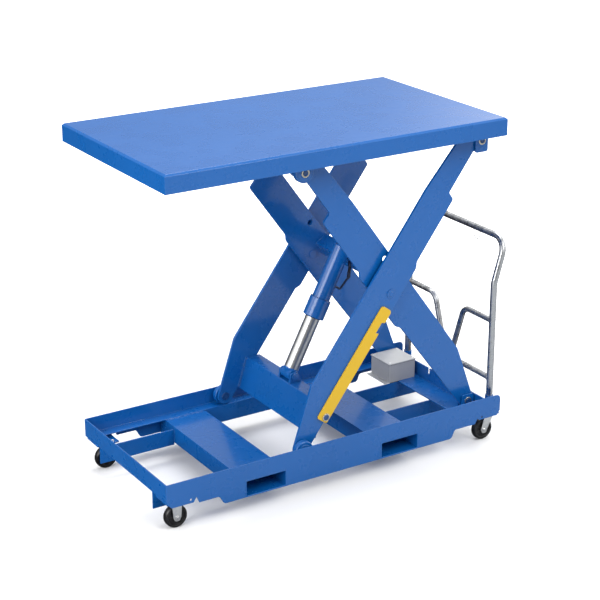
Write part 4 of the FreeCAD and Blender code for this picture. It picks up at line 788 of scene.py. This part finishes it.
def handle_bolts():
    """The cross bolts that hold the push handle's feet in their sockets."""
    shape = Shape()
    centre = middle("handle_bolts")
    socket_y = (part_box("handle_sockets")[1].y + SOCKET_INNER_Y) / 2
    half = HANDLE_BOLT_HALF
    for side in (-1, 1):
        out, inward = outward_and_inward((centre.x, side * socket_y, centre.z))
        shape.rod(out, HANDLE_BOLT_R, -half, half, 20)
        for place, height in ((out, HANDLE_NUT_HEIGHT), (inward, HANDLE_HEAD_HEIGHT)):
            shape.washer(place, HANDLE_WASHER_R, HEAD_WASHER, base=half)
            shape.hex_head(place, HANDLE_BOLT_FLATS, height, base=half + HEAD_WASHER)
    shape.done("handle_bolts_hex", "base", [ZINC], ["handle_bolts"])


def bar_bolt():
    """The maintenance bar's pivot bolt: a bright washer under a blue domed head."""
    node = "maintenance_bar_bolt"
    low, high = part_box(node)
    centre = middle(node)
    top = high.y - low.y
    dome = top - BAR_DOME_HEIGHT
    washer = dome - BAR_WASHER_THICKNESS
    wide = BAR_WASHER_R
    soft = 0.0008
    shape = Shape()
    shape.lathe([
        (0, 0, 1), (BAR_BOLT_R, 0, 1), (BAR_BOLT_R, washer, 0), (wide - soft, washer, 0),
        (wide, washer + soft, 0), (wide, dome - soft, 0), (wide - soft, dome, 0), (0.0130, dome, 0),
        (0.0128, dome + 0.0002, 1), (0.0126, dome + 0.0012, 1), (0.0112, dome + 0.0024, 1),
        (0.0080, top, 1), (0.0036, top, 1), (0.0030, top - 0.0016, 1), (0, top - 0.0016, 1),
    ], aimed((centre.x, high.y, centre.z), (0, -1, 0)), count=56)
    shape.done(node + "_turned", body_of(node), [BRONZE, PIN_BLUE], [node])


def box_screws():
    """Four pan-head screws with a hexagon socket, one at each corner of the control box's lid."""
    low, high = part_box("control_box_screws")
    head = high.z - SCREW_HEAD_HEIGHT
    wide = SCREW_HEAD_R
    top = SCREW_HEAD_HEIGHT
    socket = hexagon(SCREW_SOCKET_FLATS)
    socket_floor = top - SCREW_SOCKET_DEPTH
    shape = Shape()
    for x in (low.x + wide, high.x - wide):
        for y in (low.y + wide, high.y - wide):
            shape.lathe([
                (0, low.z - head, 0), (SCREW_R, low.z - head, 0), (SCREW_R, 0, 0), (wide, 0, 0),
                (wide, top - 0.0015, 0), (wide - 0.0004, top - 0.0007, 0), (wide - 0.0014, top - 0.0001, 0),
                (0.0026, top, 0), (socket, top, 0), (socket, socket_floor, 0), (0, socket_floor, 0),
            ], aimed((x, y, head), (0, 0, 1)), count=36)
    shape.done("control_box_screws_pan", "base", [ZINC], ["control_box_screws"])


axle_set("rigid_caster_axles", ["front_wheel_near", "front_wheel_far"])
axle_set("swivel_axle_near", ["rear_wheel_near"])
axle_set("swivel_axle_far", ["rear_wheel_far"])
caster_bolts()
handle_bolts()
bar_bolt()
box_screws()


# ---------------------------------------------------------------- cylinder: seal and hose

BARREL_END = 0.031
SEAL_REACH = 0.272
BARREL_FACE = 0.0402
PORT_BELOW_END = 0.040
FOOT_REACH = 0.430
PORT_FLATS = 0.019
HOSE_NUT_FLATS = 0.0165
NUT_HEIGHT = 0.008
PIPE_R = 0.0055
LOWER_PIPE_R = 0.0050
HOSE_R = 0.0068
FERRULE = ((0, 0), (0.0078, 0), (0.0082, 0.0008), (0.0082, 0.004), (0.0074, 0.005),
           (0.0074, 0.010), (0.0082, 0.011), (0.0082, 0.0145), (0.0076, 0.0155), (0, 0.0155))


def wiper_seal():
    """The rubber lip where the rod enters the gland."""
    seal = Shape()
    front = ROD_FOOT + CYLINDER_UP * SEAL_REACH
    seal.lathe([
        (0.0337, -0.002, 0), (0.0337, 0.0022, 0), (0.0350, 0.0032, 0), (0.0362, 0.0030, 0),
        (0.0370, 0.0012, 0), (0.0385, 0.0008, 0), (0.0390, -0.002, 0), (0.0337, -0.002, 0),
    ], aimed(front, -CYLINDER_UP), count=64)
    seal.done("cylinder_wiper_seal", "cylinder_barrel", [RUBBER])


def cylinder_hose():
    """A short hose beside the barrel: an elbow, a nut and a ferrule at each end, and two ports."""
    out = CYLINDER_OUT
    hose = Shape()
    barrel_end = ROD_FOOT + CYLINDER_UP * ((CYLINDER_TOP - ROD_FOOT).length - BARREL_END)
    port = barrel_end - CYLINDER_UP * PORT_BELOW_END + out * BARREL_FACE
    foot = ROD_FOOT + CYLINDER_UP * FOOT_REACH + out * BARREL_FACE
    elbow = port + out * 0.020
    top = elbow + Vector((0.004, 0, -0.014))
    bottom = top + Vector((-0.006, 0, -0.066))
    down = (bottom - top).normalized()
    for place in (port, foot):
        hose.hex_head(aimed(place - out * 0.0012, out), PORT_FLATS, NUT_HEIGHT, look=1)
    upper_pipe = [port + out * 0.006, elbow - out * 0.004, elbow + Vector((0.003, 0, -0.006)), top]
    hose.tube(smooth_path(upper_pipe, 8), PIPE_R, look=1, count=20)
    hose.hex_head(aimed(top, down), HOSE_NUT_FLATS, NUT_HEIGHT, look=1)
    ferrule = [(radius, height, 1) for radius, height in FERRULE]
    for start, way in ((top + down * NUT_HEIGHT, down), (bottom, -down)):
        hose.lathe(ferrule, aimed(start, way), count=32)
    hose.tube(smooth_path([top + down * 0.018, top + down * 0.03 + out * 0.002, bottom - down * 0.014]),
              HOSE_R, look=0, count=20)
    hose.hex_head(aimed(bottom, down), HOSE_NUT_FLATS, NUT_HEIGHT, look=1)
    lower_pipe = [bottom + down * 0.004, bottom + down * 0.013 - out * 0.001,
                  bottom + down * 0.023 - out * 0.011, foot + out * 0.040 - down * 0.001,
                  foot + out * 0.022, foot + out * 0.004]
    hose.tube(smooth_path(lower_pipe), LOWER_PIPE_R, look=1, count=18)
    hose.done("cylinder_hose", "cylinder_barrel", [RUBBER, DARK], ["hydraulic_fitting"])


wiper_seal()
cylinder_hose()


# ---------------------------------------------------------------- control box gasket

LID_OVERHANG = 0.003
GASKET_PROUD = 0.0012
GASKET_THICKNESS = 0.0022
GASKET_INSIDE = LID_OVERHANG + 0.004
GASKET_OUTSIDE = LID_OVERHANG - GASKET_PROUD
GASKET_BULGE = 0.0004
GASKET_GAP = 0.0001


def box_gasket():
    """The dark seal between the control box and its lid, squeezed a little proud of the box."""
    low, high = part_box("control_box_lid")
    thick = GASKET_THICKNESS
    section = ((GASKET_INSIDE, 0.0), (GASKET_OUTSIDE, 0.0), (GASKET_OUTSIDE - GASKET_BULGE, -thick / 2),
               (GASKET_OUTSIDE, -thick), (GASKET_INSIDE, -thick))
    shape = Shape()
    rings = []
    for inset, level in section:
        x_low, x_high = low.x + inset, high.x - inset
        y_low, y_high = low.y + inset, high.y - inset
        corners = ((x_low, y_low), (x_high, y_low), (x_high, y_high), (x_low, y_high))
        rings.append(shape.ring([(x, y, low.z - GASKET_GAP + level) for x, y in corners]))
    for first, second in zip(rings, rings[1:] + rings[:1]):
        shape.skin(first, second)
    shape.done("control_box_gasket", "base", [RUBBER])


box_gasket()


# ---------------------------------------------------------------- welds

BRACKET_FACES_Y = (0.276, 0.284, 0.305, 0.313)
DECK_BRACKET_FACES_Y = (0.306, 0.314, 0.333, 0.341)
TRACK_FACES_Y = (0.334, 0.374)
RAIL_WALL_Y = 0.3775
POCKET_WELD_Y = 0.322
STRINGER_THICKNESS = 0.006
SOCKET_WELD_R = 0.0195
HANDLE_TUBE_R = 0.015
HANDLE_BAR_R = 0.013
TRACK_STITCH_START = 0.03
TRACK_STITCH_PITCH = 0.1
TRACK_STITCH = 0.04
BEAD_INSET = 0.002
LUG_BEAD_INSET = 0.007
LEG_BEAD_R = 0.0026
LUG_BEAD_R = 0.0024
SOCKET_BEAD_R = 0.0022
HANDLE_BEAD_R = 0.0018
HANDLE_BEAD_PITCH = 0.004
# The square tube between the inner legs: its reach along them, and its offset above their middle.
TUBE_REACH = (0.700, 0.790)
TUBE_OFFSET = (0.045, 0.109)
TUBE_CORNER = 0.004
LUG_FACES_Y = (0.043, 0.053)
# The flat bar between the outer legs: the middles of its two ends, and its thickness.
BAR_START = (0.066, -0.042)
BAR_END = (0.203, 0.005)
BAR_THICKNESS = 0.008


def on_leg(origin, along, reach, offset, y):
    """A point in a leg's own directions: reach along it and offset above it."""
    up = Vector((-along.z, 0, along.x))
    if up.z < 0:
        up = -up
    point = origin + along * reach + up * offset
    return Vector((point.x, y, point.z))


def base_welds():
    """Beads under the pivot ears, and on the channel, end plate, pockets, stringers and sockets."""
    shape = Shape()
    ear_low, ear_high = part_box("base_pivot_brackets")
    channel_low, channel_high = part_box("rear_cross_channel")
    plate_low, plate_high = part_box("front_end_plate")
    socket_low, socket_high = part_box("handle_sockets")
    front_low, front_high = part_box("fork_pocket_front")
    rear_low, rear_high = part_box("fork_pocket_rear")
    socket_x = (socket_low.x + socket_high.x) / 2
    seams = (("front_stringers", front_low.x, front_low.z, front_high.z - 0.014),
             ("rear_stringers", rear_high.x, rear_low.z, rear_high.z - 0.006))
    for side in (-1, 1):
        for y in BRACKET_FACES_Y:
            shape.weld([(ear_low.x + BEAD_INSET, side * y, ear_low.z),
                        (ear_high.x - BEAD_INSET, side * y, ear_low.z)])
        wall = side * RAIL_WALL_Y
        shape.weld([(channel_low.x + 0.004, wall, ear_low.z), (channel_high.x - 0.008, wall, ear_low.z)])
        shape.weld([(plate_high.x, wall, plate_low.z + 0.012), (plate_high.x, wall, plate_high.z - 0.004)])
        for low, high in ((front_low, front_high), (rear_low, rear_high)):
            shape.weld([(low.x + 0.006, side * POCKET_WELD_Y, high.z),
                        (high.x - 0.006, side * POCKET_WELD_Y, high.z)])
        for stringers, x, bottom, top in seams:
            outer_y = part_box(stringers)[1].y
            for y in (side * outer_y, side * (outer_y - STRINGER_THICKNESS)):
                shape.weld([(x, y, bottom + 0.006), (x, y, top)])
        shape.weld([(socket_x + SOCKET_WELD_R * math.cos(TURN * step / 40),
                     side * HANDLE_Y + SOCKET_WELD_R * math.sin(TURN * step / 40),
                     socket_low.z + 0.0008) for step in range(40)], SOCKET_BEAD_R, closed=True)
    shape.done("base_welds", "base", [BLUE], sharp=WELD_CREASE)


def handle_welds():
    """Small beads where the inner loops and the lower bar meet the push handle's tube."""
    shape = Shape()
    loop_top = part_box("handle_loop_far")[1].z
    bar = middle("handle_lower_bar")
    stand_off = 1.03
    for side in (-1, 1):
        for height in (bar.z, loop_top - HANDLE_BAR_R):
            ring = []
            for step in range(36):
                angle = TURN * step / 36
                across = HANDLE_BAR_R * math.cos(angle)
                reach = math.sqrt(HANDLE_TUBE_R ** 2 - across ** 2)
                ring.append((bar.x + across * stand_off, side * (HANDLE_Y - reach),
                             height + HANDLE_BAR_R * stand_off * math.sin(angle)))
            shape.weld(ring, HANDLE_BEAD_R, closed=True, pitch=HANDLE_BEAD_PITCH)
    shape.done("handle_welds", "base", [GALVANISED], sharp=WELD_CREASE)


def inner_leg_welds():
    """Beads around the square tube's ends and along the feet of the cylinder's upper lugs."""
    shape = Shape()
    low, high = TUBE_REACH
    under, over = TUBE_OFFSET
    corner = TUBE_CORNER
    outline = ((low + corner, under), (high - corner, under), (high, under + corner), (high, over - corner),
               (high - corner, over), (low + corner, over), (low, over - corner), (low, under + corner))
    for side in (-1, 1):
        leg_y = side * INNER_LEG_Y
        shape.weld([on_leg(PIVOT, ALONG_INNER, reach, offset, leg_y) for reach, offset in outline],
                   LEG_BEAD_R, closed=True)
        for y in LUG_FACES_Y:
            shape.weld([on_leg(PIVOT, ALONG_INNER, high, offset, side * y)
                        for offset in (under + LUG_BEAD_INSET, over - LUG_BEAD_INSET)], LUG_BEAD_R)
    shape.done("inner_leg_welds", "inner_legs", [BLUE], sharp=WELD_CREASE)


def outer_leg_welds():
    """Beads on both faces of the flat bar where it meets the outer legs."""
    shape = Shape()
    for side in (-1, 1):
        for above in (0.0, BAR_THICKNESS):
            shape.weld([on_leg(LOWER_ROLLER, ALONG_OUTER, reach, offset + above, side * OUTER_LEG_Y)
                        for reach, offset in (BAR_START, BAR_END)], LUG_BEAD_R)
    shape.done("outer_leg_welds", "outer_legs", [BLUE], sharp=WELD_CREASE)


def platform_welds():
    """Beads over the deck's pin ears, and stitches along the roller tracks."""
    shape = Shape()
    low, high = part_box("platform_brackets")
    track_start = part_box("roller_tracks")[0].x + TRACK_STITCH_START
    top = high.z
    for side in (-1, 1):
        for y in DECK_BRACKET_FACES_Y:
            shape.weld([(low.x + BEAD_INSET, side * y, top), (high.x - BEAD_INSET, side * y, top)])
        for y in TRACK_FACES_Y:
            for step in range(8):
                x = track_start + step * TRACK_STITCH_PITCH
                shape.weld([(x, side * y, top), (x + TRACK_STITCH, side * y, top)])
    shape.done("platform_welds", "platform", [BLUE], sharp=WELD_CREASE)


base_welds()
handle_welds()
inner_leg_welds()
outer_leg_welds()
platform_welds()


# ---------------------------------------------------------------- stage, light and camera

FLOOR_HALF = 60.0
GLOW_START = 0.9
GLOW_FULL = 3.2
UP = (0.0, 0.0, 1.0)
BEHIND_RIGHT = (0.93, 0.25, 0.26)
FRONT_RIGHT = (0.45, -0.85, 0.10)
BEHIND_LEFT = (-0.83, 0.35, 0.43)
AMBIENT = 0.14
# The studio's soft boxes in the sky: direction, cosines where it starts and is full, brightness.
SOFT_BOXES = (
    (UP, 0.0, 0.9, 0.50),
    (BEHIND_RIGHT, 0.45, 0.98, 0.35),
    (BEHIND_RIGHT, 0.775, 0.90, 2.0),
    (FRONT_RIGHT, 0.5, 1.0, 0.55),
    (BEHIND_LEFT, 0.93, 0.99, 2.6),
)
CAMERA_YAW = math.radians(32.20)
CAMERA_PITCH = math.radians(20.60)
CAMERA_PLACE = (DECK_MIDDLE_X - 3.517, -5.693, 3.259)
CAMERA_LENS = 98.77


def stage_floor():
    """A wide pale floor. It is darker in reflections, so that the paint keeps its depth."""
    graph = Graph("floor_look")
    path = graph.add("LightPath")
    depth = graph.add("SeparateXYZ", Vector=graph.place()).outputs["Y"]
    mirrored = graph.mix(graph.spread(depth, -0.65, -0.2), tone(0.50, 0.52, 0.54), tone(0.03, 0.03, 0.04))
    seen = graph.mix(path.outputs["Is Glossy Ray"], tone(0.58, 0.59, 0.61), mirrored)
    seen = graph.mix(path.outputs["Is Camera Ray"], seen, tone(0.90, 0.90, 0.90))
    speck = graph.spread(graph.noise(3.0, 3.0), 0.2, 0.8, 0.75, 0.85)
    distance = graph.add("VectorMath", {"operation": "LENGTH"})
    graph.feed(distance.inputs[0], graph.place())
    far = graph.spread(distance.outputs["Value"], GLOW_START, GLOW_FULL)
    glow = graph.maths("MULTIPLY", far, path.outputs["Is Camera Ray"])
    look = graph.finish(
        **{"Base Color": seen, "Roughness": speck, "Specular IOR Level": 0.0,
           "Emission Color": tone(1.0, 1.0, 1.0), "Emission Strength": glow}
    )
    size = FLOOR_HALF
    corners = [(-size, -size, 0), (size, -size, 0), (size, size, 0), (-size, size, 0)]
    mesh = bpy.data.meshes.new("floor")
    mesh.from_pydata(corners, [], [(0, 1, 2, 3)])
    mesh.materials.append(look)
    floor = bpy.data.objects.new("floor", mesh)
    bpy.context.scene.collection.objects.link(floor)


def world_light():
    """White behind the object, and soft boxes in a dim sky for what lights it and what it mirrors."""
    world = bpy.data.worlds.new("studio")
    bpy.context.scene.world = world
    graph = Graph("studio", world, "OutputWorld")
    direction = graph.add("TexCoord").outputs["Generated"]
    level = AMBIENT
    for towards, low, high, bright in SOFT_BOXES:
        facing = graph.dot(direction, Vector(towards).normalized())
        level = graph.maths("ADD", graph.spread(facing, low, high, 0.0, bright), level)
    path = graph.add("LightPath")
    strength = graph.add("Mix", {"data_type": "FLOAT"})
    graph.feed(strength.inputs["Factor"], path.outputs["Is Camera Ray"])
    graph.feed(strength.inputs["A"], level)
    graph.feed(strength.inputs["B"], 1.0)
    back = graph.add("Background", Color=tone(1.0, 1.0, 1.0), Strength=strength.outputs["Result"])
    graph.tree.links.new(back.outputs["Background"], graph.output.inputs["Surface"])


def area_light(name, place, size, power):
    """A square lamp aimed at the middle of the object, which the camera does not see directly."""
    target = Vector((DECK_MIDDLE_X, 0.0, 0.8))
    lamp = bpy.data.lights.new(name, "AREA")
    lamp.shape = "RECTANGLE"
    lamp.size = size
    lamp.size_y = size
    lamp.energy = power
    item = bpy.data.objects.new(name, lamp)
    bpy.context.scene.collection.objects.link(item)
    item.location = place
    item.rotation_euler = (target - Vector(place)).to_track_quat("-Z", "Y").to_euler()
    item.visible_camera = False


def camera():
    """The viewing angle: from the near front corner, a little above the platform."""
    yaw, pitch = CAMERA_YAW, CAMERA_PITCH
    data = bpy.data.cameras.new("camera")
    data.sensor_width = 36.0
    data.lens = CAMERA_LENS
    data.clip_end = 200.0
    item = bpy.data.objects.new("camera", data)
    bpy.context.scene.collection.objects.link(item)
    item.location = CAMERA_PLACE
    forward = Vector((math.sin(yaw) * math.cos(pitch), math.cos(yaw) * math.cos(pitch), -math.sin(pitch)))
    item.rotation_euler = forward.to_track_quat("-Z", "Y").to_euler()
    bpy.context.scene.camera = item


stage_floor()
world_light()
area_light("key_light", (DECK_MIDDLE_X + 1.5, -4.5, 5.0), 3.0, 180.0)
area_light("top_light", (DECK_MIDDLE_X + 0.5, 1.5, 5.5), 4.0, 215.0)
area_light("fill_light", (DECK_MIDDLE_X - 5.0, -1.5, 2.5), 3.0, 195.0)
camera()
bpy.context.scene.view_settings.view_transform = "Standard"
